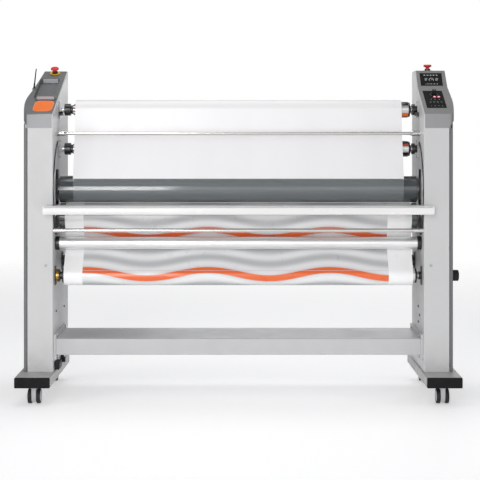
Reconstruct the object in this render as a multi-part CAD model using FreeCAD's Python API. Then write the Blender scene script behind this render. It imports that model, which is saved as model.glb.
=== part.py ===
import FreeCAD, Part
import math
import os

# Cold roll laminator. Millimetres, +X to the operator's right, +Y to the back, +Z up.
# The origin is on the floor at the middle of the four feet ends.

# --- driving dimensions -------------------------------------------------------
# feet and castors
FOOT_LENGTH = 650.0
FOOT_WIDTH = 159.0
FOOT_HEIGHT = 47.0
FOOT_WALL = 3.0
FOOT_X = 915.5
FOOT_BOTTOM = 81.0
CAP_DEPTH = 8.0
WHEEL_R = 33.0
WHEEL_WIDTH = 17.0
CASTOR_Y = 262.0
CASTOR_TRAIL = 16.0
HOOD_WIDTH = 22.0
STEM_R = 6.0

# columns
COLUMN_FRONT = -182.0
LEFT_BACK = 322.0
RIGHT_BACK = 209.0
COLUMN_TOP = 1236.0
WALL_X = 843.5
PLATE = 5.0
FLANGE_X = 958.6
COVER_X0 = 962.0
COVER_X1 = 976.0
COVER_SKIN = 3.0
SHELL = 3.0
EDGE_R = 5.0
SKIRT_DROP = 46.0
CHEEK_DROP = 48.0

# rollers
ROLLER_Y = -39.0
ROLLER_R = 62.5
ROLLER_HALF = 828.0
LOWER_Z = 825.5
NIP_GAP = 2.0
UPPER_Z = LOWER_Z + 2 * ROLLER_R + NIP_GAP
LIFT = 35.0
CORE_R = 52.5
CORE_WALL = 8.0
JOURNAL_R = 17.5
RUN_CLEAR = 0.05
BLOCK_WIDTH = 90.0
BLOCK_HEIGHT = 100.0
BLOCK_X0 = 840.0
BLOCK_X1 = 905.0
BLOCK_PLAY = 1.0

# winding shafts: Y, Z, half width of the roll, radius of the roll
SHAFTS = {
    "supply": (15.0, 1324.0, 762.0, 45.5),
    "rewind": (15.0, 1140.0, 762.0, 45.0),
    "unwind": (-104.0, 558.0, 800.0, 45.0),
    "takeup": (115.0, 605.0, 800.0, 43.0),
}
LONG_ENDED = ("supply", "rewind")
COLLARED = ("supply", "rewind", "unwind")
LONG_TUBE_END = 34.0
SHORT_TUBE_END = 10.0
TUBE_R = 35.0
TUBE_WALL = 3.0
PAPER_CORE_R = 38.1
SPINDLE_R = 13.0
COLLAR_R = 28.0
RING_LENGTH = 29.0
NECK_LENGTH = 8.0
NECK_R = 20.0
JAW_R = 35.0
JAW_T = 4.0
JAW_GAP = 34.0
JAW_DEPTH = 10.0
FLANGE_R = 34.5
DISC_T = 8.0
DISC_LENGTH = 13.0
SADDLE_R = 18.5
SADDLE_DEPTH = 15.5
CUP_WALL = 5.0
CUP_MOUTH = 8.0
PLATE_HALF = 43.0
PLATE_SCREW = 36.5
CATCH_DEPTH = 20.0
# wider cups: shaft, side, radius and depth
WIDE_CUPS = {
    ("supply", 1): (26.0, 29.5),
    ("rewind", 1): (26.0, 29.5),
    ("unwind", -1): (29.0, 22.0),
    ("takeup", -1): (27.0, 15.5),
    ("takeup", 1): (27.0, 15.5),
}

# bars and idler
GUIDE_Y, GUIDE_Z, GUIDE_R = -50.0, 1213.0, 7.0
FRONT_ROD_Y, FRONT_ROD_Z, FRONT_ROD_R = -170.0, 770.0, 9.0
IDLER_Y, IDLER_Z, IDLER_R = -89.0, 706.0, 29.0
IDLER_HALF = 824.0

# feed table
TABLE_TOP = 884.0
TABLE_BACK = -110.0
TABLE_HALF = 836.0
NOSE_FRONT = -265.0
NOSE_BACK = -192.0
NOSE_HALF = 872.0
NOSE_HEIGHT = 38.0
NOSE_CAP = 8.0

# crossbar
BAR_FRONT = -145.0
BAR_BACK = 186.0
BAR_BOTTOM = 198.0
BAR_TOP = 273.0
BAR_WALL = 3.0
BAR_FLANGE = 10.0

# webs
PRINT_HALF = 800.0
FILM_HALF = 762.0
PRINT_T = 0.4
FILM_T = 0.4
WEB_GAP = 0.4
LIFT_GAP = 1.0
FOLD_R = 4.0
FOLD_ANGLE = math.radians(74.0)

SHAPES = {}


# --- small helpers ------------------------------------------------------------
def vec(x, y, z):
    return FreeCAD.Vector(x, y, z)


def box(x0, x1, y0, y1, z0, z1):
    return Part.makeBox(x1 - x0, y1 - y0, z1 - z0, vec(x0, y0, z0))


def rod_x(x0, x1, y, z, radius):
    return Part.makeCylinder(radius, x1 - x0, vec(x0, y, z), vec(1, 0, 0))


def rod_y(y0, y1, x, z, radius):
    return Part.makeCylinder(radius, y1 - y0, vec(x, y0, z), vec(0, 1, 0))


def rod_z(z0, z1, x, y, radius):
    return Part.makeCylinder(radius, z1 - z0, vec(x, y, z0), vec(0, 0, 1))


def cone_x(x0, x1, y, z, r0, r1):
    return Part.makeCone(r0, r1, x1 - x0, vec(x0, y, z), vec(1, 0, 0))


def rod_along(base, direction, length, radius):
    return Part.makeCylinder(radius, length, base, direction)


def prism_x(points, x0, x1):
    """A solid with the given (y, z) outline, from x0 to x1."""
    outline = [vec(x0, y, z) for y, z in points]
    wire = Part.makePolygon(outline + outline[:1])
    return Part.Face(wire).extrude(vec(x1 - x0, 0, 0))


def mirrored(shape):
    return shape.mirror(vec(0, 0, 0), vec(1, 0, 0))


def both_sides(shape):
    return [shape, mirrored(shape)]


def fuse(*shapes):
    whole = shapes[0]
    for other in shapes[1:]:
        whole = whole.fuse(other)
    return whole.removeSplitter()


def rounded(shape, radius, keep):
    """Fillets every edge whose middle point passes the keep test."""
    edges = [e for e in shape.Edges if keep(e.CenterOfMass, e)]
    return shape.makeFillet(radius, edges) if edges else shape


def along(edge, axis):
    """True for a straight edge that runs along the axis 0, 1 or 2."""
    if len(edge.Vertexes) != 2:
        return False
    run = edge.Vertexes[1].Point - edge.Vertexes[0].Point
    return abs(run[axis]) > 0.99 * run.Length


def add(name, *shapes):
    SHAPES[name] = list(shapes)


# --- feet and castors ---------------------------------------------------------
def make_feet():
    half_w, half_l = FOOT_WIDTH / 2, FOOT_LENGTH / 2
    top = FOOT_BOTTOM + FOOT_HEIGHT
    beam_end = half_l - CAP_DEPTH
    feet, caps = [], []
    for side in (-1, 1):
        x = side * FOOT_X
        beam = box(x - half_w, x + half_w, -beam_end, beam_end, FOOT_BOTTOM, top)
        beam = rounded(beam, EDGE_R, lambda p, e: along(e, 1))
        hollow = box(x - half_w + FOOT_WALL, x + half_w - FOOT_WALL, -beam_end, beam_end,
                     FOOT_BOTTOM + FOOT_WALL, top - FOOT_WALL)
        beam = beam.cut(hollow)
        for y in (-CASTOR_Y, CASTOR_Y):
            beam = beam.cut(rod_z(FOOT_BOTTOM - 1, FOOT_BOTTOM + FOOT_WALL + 1, x, y, STEM_R + RUN_CLEAR))
        feet.append(beam)
        for end in (-1, 1):
            y0, y1 = sorted((end * beam_end, end * half_l))
            cap = box(x - half_w + 1, x + half_w - 1, y0, y1, FOOT_BOTTOM + 0.5, top - 0.5)
            caps.append(rounded(cap, EDGE_R, lambda p, e: along(e, 1)))
    add("feet", *feet)
    add("foot_end_caps", *caps)


def make_castor(name, x, y):
    """Twin-wheel castor: a hood on a stem, and two wheels on one axle."""
    axle_y, axle_z = y + CASTOR_TRAIL, WHEEL_R
    inner = HOOD_WIDTH / 2
    outer = inner + WHEEL_WIDTH
    hood = rod_x(x - inner + 1, x + inner - 1, axle_y, axle_z, WHEEL_R - 5)
    neck = box(x - inner + 1, x + inner - 1, y - 12, y + 14, axle_z, FOOT_BOTTOM - 8)
    plate = rod_z(FOOT_BOTTOM - 9, FOOT_BOTTOM - 1, x, y, 22)
    stem = rod_z(FOOT_BOTTOM - 5, FOOT_BOTTOM + 26, x, y, STEM_R)
    nut = rod_z(FOOT_BOTTOM + FOOT_WALL + 1, FOOT_BOTTOM + 12, x, y, STEM_R + 5)
    hood = fuse(hood, neck, plate, stem, nut)
    hood = hood.cut(rod_x(x - inner, x + inner, axle_y, axle_z, 5 + RUN_CLEAR))
    add("castor_hood_" + name, hood)
    wheels = []
    for side in (-1, 1):
        x0, x1 = sorted((x + side * inner, x + side * outer))
        wheel = rod_x(x0, x1, axle_y, axle_z, WHEEL_R)
        wheel = rounded(wheel, 3.0, lambda p, e: e.Curve.TypeId == "Part::GeomCircle")
        dish = rod_x(x1 - 3 if side > 0 else x0, x1 if side > 0 else x0 + 3, axle_y, axle_z, WHEEL_R - 9)
        hub = rod_x(x1 - 3 if side > 0 else x0 + 1, x1 - 1 if side > 0 else x0 + 3, axle_y, axle_z, 10)
        wheels.append(wheel.cut(dish).fuse(hub).removeSplitter())
    axle = rod_x(x - inner, x + inner, axle_y, axle_z, 5)
    add("castor_wheels_" + name, fuse(wheels[0], axle, wheels[1]))


# --- columns ------------------------------------------------------------------
# side lines of the consoles, as (Y, Z) from front to back
LEFT_PROFILE = [(COLUMN_FRONT, 1296), (-175, 1302), (317, 1521), (LEFT_BACK, 1516)]
RIGHT_PROFILE = [(COLUMN_FRONT, 1300), (-152, 1319), (46, 1432), (109, 1513), (RIGHT_BACK, 1513)]
# outer edges of the consoles seen from above, as (X, Y) from front to back
LEFT_PLAN = [(-950, -182.5), (-967, -175), (-978, -156), (-986, -115), (-992, -60), (-991, 0), (-981, 75),
             (-968, 190), (-956, 322.5)]
RIGHT_PLAN = [(955, -182.5), (972, -176), (982, -160), (987, -135), (991, -95), (991, -40), (989, 16),
              (986, 94), (982, 209.5)]


def dropped(profile, drop):
    """The same top line, lower by drop."""
    return [(y, z - drop) for y, z in profile]


def side_outline(profile, bottom, drop=0.0):
    line = dropped(profile, drop)
    return [(line[0][0], bottom)] + line + [(line[-1][0], bottom)]


def roller_slot():
    """The opening that the bearing blocks sit and slide in."""
    half = BLOCK_WIDTH / 2 + BLOCK_PLAY
    low = LOWER_Z - BLOCK_HEIGHT / 2 - 2
    high = UPPER_Z + BLOCK_HEIGHT / 2 + LIFT + 8
    return box(WALL_X - 1, WALL_X + PLATE + 1, ROLLER_Y - half, ROLLER_Y + half, low, high)


def make_side_frame(name, profile, side):
    """Inner plate up to the console's line, with flanges front, back, top and bottom."""
    foot_top = FOOT_BOTTOM + FOOT_HEIGHT
    rear = profile[-1][0]
    plate = prism_x(side_outline(profile, foot_top, 3.0), WALL_X, WALL_X + PLATE)
    front = box(WALL_X, FLANGE_X, COLUMN_FRONT, COLUMN_FRONT + PLATE, foot_top, COLUMN_TOP)
    back = box(WALL_X, FLANGE_X, rear - PLATE, rear, foot_top, COLUMN_TOP)
    floor = box(WALL_X, FLANGE_X, COLUMN_FRONT, rear, foot_top, foot_top + PLATE)
    lid = box(WALL_X, FLANGE_X, COLUMN_FRONT, rear, COLUMN_TOP - PLATE, COLUMN_TOP)
    frame = fuse(plate, front, back, floor, lid)
    frame = frame.cut(roller_slot())
    frame = rounded(frame, 3.0, lambda p, e: along(e, 2) and abs(p.x - WALL_X) < 0.1
                    and (abs(p.y - COLUMN_FRONT) < 0.1 or abs(p.y - rear) < 0.1))
    add(name, frame if side > 0 else mirrored(frame))


def side_cover(profile, side):
    """Outer cover: a shallow tray below and a plain cheek beside the console."""
    foot_top = FOOT_BOTTOM + FOOT_HEIGHT
    rear = profile[-1][0]
    tray = box(COVER_X0, COVER_X1, COLUMN_FRONT, rear, foot_top, COLUMN_TOP)
    cheek = prism_x(side_outline(profile, COLUMN_TOP - 1, CHEEK_DROP), COVER_X1 - 4, COVER_X1)
    outer = fuse(tray, cheek)
    hollow = box(COVER_X0 - 1, COVER_X1 - COVER_SKIN, COLUMN_FRONT + COVER_SKIN, rear - COVER_SKIN,
                 foot_top + COVER_SKIN, COLUMN_TOP - COVER_SKIN)
    cover = outer.cut(hollow)
    cover = rounded(cover, 6.0, lambda p, e: along(e, 2) and abs(p.x - COVER_X1) < 0.1
                    and (abs(p.y - COLUMN_FRONT) < 0.1 or abs(p.y - rear) < 0.1)
                    and e.Length > 500)
    neck = box(COVER_X0 - 7, COVER_X0 + 2, COLUMN_FRONT + 9, rear - 9, foot_top + 9, COLUMN_TOP - 9)
    bore = box(COVER_X0 - 8, COVER_X0 + 3, COLUMN_FRONT + 12, rear - 12, foot_top + 12, COLUMN_TOP - 12)
    rim = box(COVER_X0, COVER_X0 + 2, COLUMN_FRONT + 1, rear - 1, foot_top + 1, COLUMN_TOP - 1).cut(bore)
    cover = fuse(cover, rim, neck.cut(bore))
    if side > 0:
        y, z = SHAFTS["unwind"][:2]
        cover = cover.cut(rod_x(COVER_X1 - COVER_SKIN - 1, COVER_X1 + 1, y, z, 8 + RUN_CLEAR))
    return cover if side > 0 else mirrored(cover)


def cover_latches():
    """Latches in the gap between each side frame and its cover."""
    latches = []
    for z in (158.0, 691.0, 1222.0):
        latches += both_sides(box(FLANGE_X, COVER_X0, COLUMN_FRONT, COLUMN_FRONT + 6, z - 9, z + 9))
        latches.append(mirrored(box(FLANGE_X, COVER_X0, LEFT_BACK - 6, LEFT_BACK, z - 9, z + 9)))
        latches.append(box(FLANGE_X, COVER_X0, RIGHT_BACK - 6, RIGHT_BACK, z - 9, z + 9))
    return latches


# --- rollers ------------------------------------------------------------------
def roller_sleeve(z):
    outer = rod_x(-ROLLER_HALF, ROLLER_HALF, ROLLER_Y, z, ROLLER_R)
    outer = rounded(outer, 2.0, lambda p, e: e.Curve.TypeId == "Part::GeomCircle")
    return outer.cut(rod_x(-ROLLER_HALF - 1, ROLLER_HALF + 1, ROLLER_Y, z, CORE_R))


def roller_core(z, right_end):
    """Steel tube with end discs and the two journals."""
    tube = rod_x(-ROLLER_HALF, ROLLER_HALF, ROLLER_Y, z, CORE_R)
    plug = ROLLER_HALF - 30
    tube = tube.cut(rod_x(-plug, plug, ROLLER_Y, z, CORE_R - CORE_WALL))
    left = rod_x(-BLOCK_X1 - 6, -ROLLER_HALF, ROLLER_Y, z, JOURNAL_R)
    right = rod_x(ROLLER_HALF, right_end, ROLLER_Y, z, JOURNAL_R)
    return fuse(tube, left, right)


def bearing_block(z):
    half_w, half_h = BLOCK_WIDTH / 2, BLOCK_HEIGHT / 2
    block = box(BLOCK_X0, BLOCK_X1, ROLLER_Y - half_w, ROLLER_Y + half_w, z - half_h, z + half_h)
    block = rounded(block, 4.0, lambda p, e: along(e, 0))
    return block.cut(rod_x(BLOCK_X0 - 1, BLOCK_X1 + 1, ROLLER_Y, z, JOURNAL_R + RUN_CLEAR))


PISTON_X = 880.0
PISTON_Z = UPPER_Z + 168.0
CYLINDER_BOTTOM = UPPER_Z + BLOCK_HEIGHT / 2 + LIFT + 25
CYLINDER_TOP = COLUMN_TOP - PLATE - 4
ROD_R = 8.0
PISTON_R = 22.0


def lifting_block():
    """Upper bearing block with the cylinder's rod and piston on it."""
    block = bearing_block(UPPER_Z)
    rod = rod_z(UPPER_Z + BLOCK_HEIGHT / 2 - 2, PISTON_Z + 5, PISTON_X, ROLLER_Y, ROD_R)
    piston = rod_z(PISTON_Z, PISTON_Z + 10, PISTON_X, ROLLER_Y, PISTON_R)
    return fuse(block, rod, piston)


def lift_cylinder():
    barrel = rod_z(CYLINDER_BOTTOM, CYLINDER_TOP, PISTON_X, ROLLER_Y, PISTON_R + 4)
    chamber = rod_z(CYLINDER_BOTTOM + 8, CYLINDER_TOP - 8, PISTON_X, ROLLER_Y, PISTON_R + 0.3)
    gland = rod_z(CYLINDER_BOTTOM - 1, CYLINDER_BOTTOM + 9, PISTON_X, ROLLER_Y, ROD_R + RUN_CLEAR)
    bracket = box(WALL_X + PLATE, PISTON_X, ROLLER_Y - 30, ROLLER_Y + 30, CYLINDER_TOP - 14, CYLINDER_TOP - 4)
    return fuse(barrel, bracket).cut(chamber).cut(gland)


def make_rollers():
    add("upper_roller_sleeve", roller_sleeve(UPPER_Z))
    add("upper_roller_core", roller_core(UPPER_Z, BLOCK_X1 + 6))
    add("lower_roller_sleeve", roller_sleeve(LOWER_Z))
    add("lower_roller_core", roller_core(LOWER_Z, 940.0))
    add("upper_bearing_blocks", *both_sides(lifting_block()))
    add("lower_bearing_blocks", *both_sides(bearing_block(LOWER_Z)))
    add("lift_cylinders", *both_sides(lift_cylinder()))


def make_roller_guides():
    """Black plates on the walls: a curved strip in front of each roller slot, a straight one behind."""
    x0, x1 = WALL_X - 4, WALL_X
    front_line = [(-175, 889), (-174, 1015), (-128, 1110), (-42, 1176)]
    back_line = [(-16, 1160), (-94, 1092), (-132, 1010), (-132, 889)]
    edges = []
    for line in (front_line, back_line):
        curve = Part.BSplineCurve()
        curve.interpolate([vec(x0, y, z) for y, z in line])
        edges.append(curve.toShape())
    edges.append(Part.LineSegment(vec(x0, *front_line[-1]), vec(x0, *back_line[0])).toShape())
    edges.append(Part.LineSegment(vec(x0, *back_line[-1]), vec(x0, *front_line[0])).toShape())
    strip = Part.Face(Part.Wire(Part.__sortEdges__(edges))).extrude(vec(x1 - x0, 0, 0))
    back = ROLLER_Y + BLOCK_WIDTH / 2 + BLOCK_PLAY
    rail = box(x0, x1, back, back + 14, 905, 1045)
    add("roller_guides", *both_sides(strip), *both_sides(rail))


def make_gear_motor():
    """Hollow-shaft worm gearbox on the lower roller's journal, with its motor below it."""
    x0, x1 = BLOCK_X1 + 8, 950.0
    housing = box(x0, x1, ROLLER_Y - 50, ROLLER_Y + 50, LOWER_Z - 60, LOWER_Z + 55)
    housing = rounded(housing, 8.0, lambda p, e: along(e, 0))
    motor = rod_z(LOWER_Z - 250, LOWER_Z - 60, (x0 + x1) / 2 - 6, ROLLER_Y, 30)
    arm = box(WALL_X + PLATE, x0, ROLLER_Y + 52, ROLLER_Y + 72, LOWER_Z - 40, LOWER_Z - 10)
    ear = box(x0, x0 + 12, ROLLER_Y + 40, ROLLER_Y + 72, LOWER_Z - 40, LOWER_Z - 10)
    bore = rod_x(x0 - 1, x1 + 1, ROLLER_Y, LOWER_Z, JOURNAL_R + RUN_CLEAR)
    add("gear_motor", fuse(housing, motor, ear, arm).cut(bore))


# --- winding shafts -----------------------------------------------------------
def spindle(y, z, x0, x1, radius):
    """Tube with a reduced journal at each end."""
    tube = rod_x(x0, x1, y, z, radius).cut(rod_x(x0 + 20, x1 - 20, y, z, radius - TUBE_WALL))
    left = rod_x(-WALL_X + 1, x0, y, z, SPINDLE_R)
    right = rod_x(x1, WALL_X - 1, y, z, SPINDLE_R)
    return fuse(tube, left, right)


def core_chuck(y, z, x0, x1):
    """Chuck on the left journal: a ring, a neck and three jaws that flare out into the roll's core."""
    ring_end = x0 + RING_LENGTH
    neck_end = ring_end + NECK_LENGTH
    ring = rounded(rod_x(x0, ring_end, y, z, COLLAR_R), 2.0, lambda p, e: e.Curve.TypeId == "Part::GeomCircle")
    neck = rod_x(ring_end - 1, neck_end, y, z, NECK_R)
    cone = cone_x(neck_end - 1, x1, y, z, NECK_R, JAW_R)
    hollow = cone_x(neck_end + 2, x1, y, z, NECK_R - JAW_T + 1, JAW_R - JAW_T)
    jaws = cone.cut(hollow)
    for turn in (30, 150, 270):
        gap = box(neck_end + 2, x1 + 1, y, y + JAW_R, z - JAW_GAP / 2, z + JAW_GAP / 2)
        gap.rotate(vec(0, y, z), vec(1, 0, 0), turn - 90)
        jaws = jaws.cut(gap)
    return fuse(ring, neck, jaws).cut(rod_x(x0 - 1, x1 + 1, y, z, SPINDLE_R))


def end_disc(y, z, x0, x1):
    """End disc of a shaft, with a short hub toward the wall."""
    plate = rod_x(x0, x0 + DISC_T, y, z, FLANGE_R)
    plate = rounded(plate, 2.0, lambda p, e: e.Curve.TypeId == "Part::GeomCircle")
    hub = rod_x(x0 + DISC_T, x1, y, z, SPINDLE_R + 5)
    return fuse(plate, hub).cut(rod_x(x0 - 1, x1 + 1, y, z, SPINDLE_R))


def paper_roll(y, z, half, radius):
    roll = rod_x(-half, half, y, z, radius)
    return roll.cut(rod_x(-half - 1, half + 1, y, z, PAPER_CORE_R))


def make_shafts():
    for name, (y, z, half, radius) in SHAFTS.items():
        long_ended = name in LONG_ENDED
        tube_end = half + (LONG_TUBE_END if long_ended else SHORT_TUBE_END)
        tube_start = -half + (JAW_DEPTH if long_ended else -1)
        add(name + "_shaft", spindle(y, z, tube_start, tube_end, TUBE_R))
        add(name + "_roll", paper_roll(y, z, half, radius))
        if name not in COLLARED:
            continue
        right_end = end_disc(y, z, tube_end, tube_end + DISC_LENGTH)
        if long_ended:
            left_end = core_chuck(y, z, -half - 54, -half + 8)
        else:
            left_end = mirrored(end_disc(y, z, half + 1, half + 26))
        add(name + "_collars", left_end, right_end)


def saddle(name, side):
    """Cup on the wall that one end of a shaft rests in, with its wall plate."""
    y, z = SHAFTS[name][:2]
    radius, depth = WIDE_CUPS.get((name, side), (SADDLE_R, SADDLE_DEPTH))
    x0 = WALL_X - depth
    plate = box(WALL_X - 4, WALL_X, y - 22, y + 22, z - PLATE_HALF, z + PLATE_HALF)
    plate = rounded(plate, 8.0, lambda p, e: along(e, 0))
    neck = rod_x(x0, WALL_X, y, z, SADDLE_R)
    head = rod_x(x0, x0 + SADDLE_DEPTH - 1.5, y, z, radius)
    mouth = rod_x(x0 - 1, x0 + CUP_MOUTH, y, z, max(radius - CUP_WALL, SPINDLE_R + 1.5))
    hole = rod_x(x0 - 1, WALL_X + 1, y, z, SPINDLE_R + RUN_CLEAR)
    cup = fuse(neck, head, plate).cut(mouth).cut(hole)
    return cup if side > 0 else mirrored(cup)


def make_saddles():
    saddles = {(name, side): saddle(name, side) for name in SHAFTS for side in (1, -1)}
    y, z = SHAFTS["supply"][:2]
    spindle_room = rod_x(-WALL_X - 1, WALL_X + 1, y, z, SPINDLE_R + RUN_CLEAR)
    left_catch = box(-WALL_X, -WALL_X + CATCH_DEPTH, y, y + 23, z - 27, z - 10)
    right_catch = box(WALL_X - CATCH_DEPTH, WALL_X, y - 46, y - 20, z - 30, z - 13)
    for side, catch in ((-1, left_catch), (1, right_catch)):
        saddles["supply", side] = fuse(saddles["supply", side], catch).cut(spindle_room)
    add("shaft_saddles", *saddles.values())


# --- guide bars and idler -----------------------------------------------------
def make_bars():
    guide = rod_x(-WALL_X, WALL_X, GUIDE_Y, GUIDE_Z, GUIDE_R)
    front = rod_x(-WALL_X, WALL_X, FRONT_ROD_Y, FRONT_ROD_Z, FRONT_ROD_R)
    add("guide_bars", guide, front)
    ferrules = []
    for y, z, r, wide in ((GUIDE_Y, GUIDE_Z, GUIDE_R, 12.5), (FRONT_ROD_Y, FRONT_ROD_Z, FRONT_ROD_R, 11.5)):
        cuff = rod_x(WALL_X - 34, WALL_X, y, z, wide)
        nose = cone_x(WALL_X - 46, WALL_X - 34, y, z, r + 1.5, wide)
        ferrules += both_sides(fuse(cuff, nose).cut(rod_x(WALL_X - 50, WALL_X + 1, y, z, r)))
    add("bar_end_fittings", *ferrules, *idler_stubs())


def idler_stubs():
    """Fixed stubs that the idler tube turns on, each with its ring at the wall."""
    stub = rod_x(IDLER_HALF - 17, WALL_X, IDLER_Y, IDLER_Z, 10)
    ring = rod_x(IDLER_HALF + 1, WALL_X, IDLER_Y, IDLER_Z, IDLER_R + 3)
    return both_sides(fuse(stub, ring))


def make_idler():
    tube = rod_x(-IDLER_HALF, IDLER_HALF, IDLER_Y, IDLER_Z, IDLER_R)
    tube = tube.cut(rod_x(-IDLER_HALF + 18, IDLER_HALF - 18, IDLER_Y, IDLER_Z, IDLER_R - 3))
    tube = tube.cut(rod_x(-IDLER_HALF - 1, IDLER_HALF + 1, IDLER_Y, IDLER_Z, 10 + RUN_CLEAR))
    add("idler_tube", tube)


# --- feed table ---------------------------------------------------------------
def make_table():
    plate = box(-TABLE_HALF, TABLE_HALF, NOSE_BACK, TABLE_BACK, TABLE_TOP - 3, TABLE_TOP)
    lip = box(-TABLE_HALF, TABLE_HALF, TABLE_BACK - 3, TABLE_BACK, TABLE_TOP - 28, TABLE_TOP)
    add("feed_table", rounded(fuse(plate, lip), 2.5, lambda p, e: along(e, 0)
                              and abs(p.z - TABLE_TOP) < 0.1 and abs(p.y - TABLE_BACK) < 0.1))
    low = TABLE_TOP - NOSE_HEIGHT
    bar = box(-NOSE_HALF, NOSE_HALF, NOSE_FRONT, NOSE_BACK, low, TABLE_TOP)
    bar = rounded(bar, 14.0, lambda p, e: along(e, 0) and abs(p.y - NOSE_FRONT) < 0.1)
    hollow = box(-NOSE_HALF - 1, NOSE_HALF + 1, NOSE_FRONT + 4, NOSE_BACK - 4, low + 4, TABLE_TOP - 4)
    hollow = rounded(hollow, 9.0, lambda p, e: along(e, 0) and p.y < NOSE_FRONT + 5)
    add("table_nose", bar.cut(hollow))
    cap = box(NOSE_HALF, NOSE_HALF + NOSE_CAP, NOSE_FRONT, NOSE_BACK, low, TABLE_TOP)
    cap = rounded(cap, 14.0, lambda p, e: along(e, 0) and abs(p.y - NOSE_FRONT) < 0.1)
    cap = rounded(cap, 5.0, lambda p, e: abs(p.x - NOSE_HALF - NOSE_CAP) < 0.1)
    add("table_nose_caps", *both_sides(cap))


def make_table_arms():
    """Dark arms that carry the table from the walls."""
    x0, x1 = WALL_X - 8, WALL_X
    under = TABLE_TOP - 3.0
    outline = [(NOSE_BACK + 12, under), (NOSE_BACK + 12, under - 50), (NOSE_BACK + 40, under - 95),
               (TABLE_BACK - 6, under - 134), (TABLE_BACK + 8, under - 134), (TABLE_BACK - 4, under - 80),
               (TABLE_BACK - 6, under)]
    arm = prism_x(outline, x0, x1)
    shelf = box(x0 - 40, x0, NOSE_BACK + 20, TABLE_BACK - 8, under - 6, under)
    add("table_arms", *both_sides(fuse(arm, shelf)))


# --- crossbar -----------------------------------------------------------------
def make_crossbar():
    end = WALL_X - BAR_FLANGE
    beam = box(-end, end, BAR_FRONT, BAR_BACK, BAR_BOTTOM, BAR_TOP)
    beam = rounded(beam, EDGE_R, lambda p, e: along(e, 0))
    hollow = box(-end, end, BAR_FRONT + BAR_WALL, BAR_BACK - BAR_WALL, BAR_BOTTOM + BAR_WALL, BAR_TOP - BAR_WALL)
    beam = beam.cut(hollow)
    flange = box(end, WALL_X, BAR_FRONT - 14, BAR_BACK + 14, BAR_BOTTOM - 22, BAR_TOP + 22)
    flange = rounded(flange, 6.0, lambda p, e: along(e, 0))
    add("crossbar", fuse(beam, flange, mirrored(flange)))


PLUG_X, PLUG_Z = 875.0, 611.0


def screw_x(y, z, x_face, radius, height):
    """Screw head standing inward from the face at x_face, on the right wall."""
    head = rod_x(x_face - height, x_face, y, z, radius)
    return head.cut(rod_x(x_face - height - 1, x_face - height / 2, y, z, radius * 0.45))


def make_screws():
    screws = []
    for y in (BAR_FRONT + 30, BAR_BACK - 30):
        for z in (BAR_BOTTOM - 11, BAR_TOP + 11):
            screws += both_sides(screw_x(y, z, WALL_X - BAR_FLANGE, 7, 5))
    for y, z in ((NOSE_BACK + 28, TABLE_TOP - 45), (TABLE_BACK - 9, TABLE_TOP - 112)):
        screws += both_sides(screw_x(y, z, WALL_X - 8, 6, 4))
    for y, z, half, radius in SHAFTS.values():
        for dz in (-PLATE_SCREW, PLATE_SCREW):
            screws += both_sides(screw_x(y, z + dz, WALL_X - 4, 4.5, 3))
    for y, z in ((-7, 404), (-49, 368), (-7, 332)):
        screws.append(screw_x(y, z, WALL_X, 5, 3))
    for y, z in ((181, 378), (-83, 391)):
        screws.append(mirrored(screw_x(y, z, WALL_X, 5, 3)))
    screws += both_sides(rod_y(COLUMN_FRONT - 2, COLUMN_FRONT, PLUG_X, PLUG_Z, 7))
    add("frame_fasteners", *screws, *cover_latches())


# --- consoles -----------------------------------------------------------------
ANTENNA_X, ANTENNA_Y = -975.0, 100.0
ANTENNA_LEAN = math.radians(6.5)
BALL_R = 5.5
LEFT_SLOPE = math.atan2(LEFT_PROFILE[2][1] - LEFT_PROFILE[1][1], LEFT_PROFILE[2][0] - LEFT_PROFILE[1][0])


def on_slope(start, end, y):
    """Height of the line from start to end at the given y."""
    share = (y - start[0]) / (end[0] - start[0])
    return start[1] + share * (end[1] - start[1])


def left_top(y):
    return on_slope(LEFT_PROFILE[1], LEFT_PROFILE[2], y)


def slope_block(y0, y1, x0, x1, top, depth, surface, angle):
    """Block whose top lies along a slope: it starts at y0, is as long as y0 to y1, and goes down by depth."""
    length = (y1 - y0) / math.cos(angle)
    block = Part.makeBox(x1 - x0, length, depth + top, vec(x0, 0, -depth))
    block.rotate(vec(0, 0, 0), vec(1, 0, 0), math.degrees(angle))
    block.translate(vec(0, y0, surface(y0)))
    return block


TRAY = (-8.0, 227.0, -962.0, -868.0, 25.0)
RIDGE = (-24.0, -11.0, -949.0, -852.0, 20.0)
MAT = (-153.0, -39.0, -945.0, -854.0, 5.0)
MAT_R = 28.0


def plan_prism(outer, x_inner, z0, z1):
    """A solid with the given outer edge seen from above, and a straight inner edge at x_inner."""
    curve = Part.BSplineCurve()
    curve.interpolate([vec(x, y, z0) for x, y in outer])
    corners = [vec(*outer[-1], z0), vec(x_inner, outer[-1][1], z0), vec(x_inner, outer[0][1], z0), vec(*outer[0], z0)]
    edges = [curve.toShape()] + [Part.LineSegment(a, b).toShape() for a, b in zip(corners, corners[1:])]
    return Part.Face(Part.Wire(Part.__sortEdges__(edges))).extrude(vec(0, 0, z1 - z0))


def left_shell(x1):
    """The console's top and its skirt, open below."""
    line = LEFT_PROFILE
    slab = prism_x(line + [(y, z - SKIRT_DROP) for y, z in reversed(line)], -1000.0, x1)
    slab = rounded(slab, 4.0, lambda p, e: along(e, 0) and p.z > left_top(p.y) - 4)
    slab = slab.common(plan_prism(LEFT_PLAN, x1, COLUMN_TOP, 1540.0))
    y0, y1 = COLUMN_FRONT + 6, LEFT_BACK - 6
    ends = [(y0, left_top(y0)), (y1, left_top(y1))]
    room = prism_x(dropped(ends, 10.0) + dropped(ends[::-1], SKIRT_DROP + 10), -950.0, x1 - 4)
    return slab.cut(room)


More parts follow.
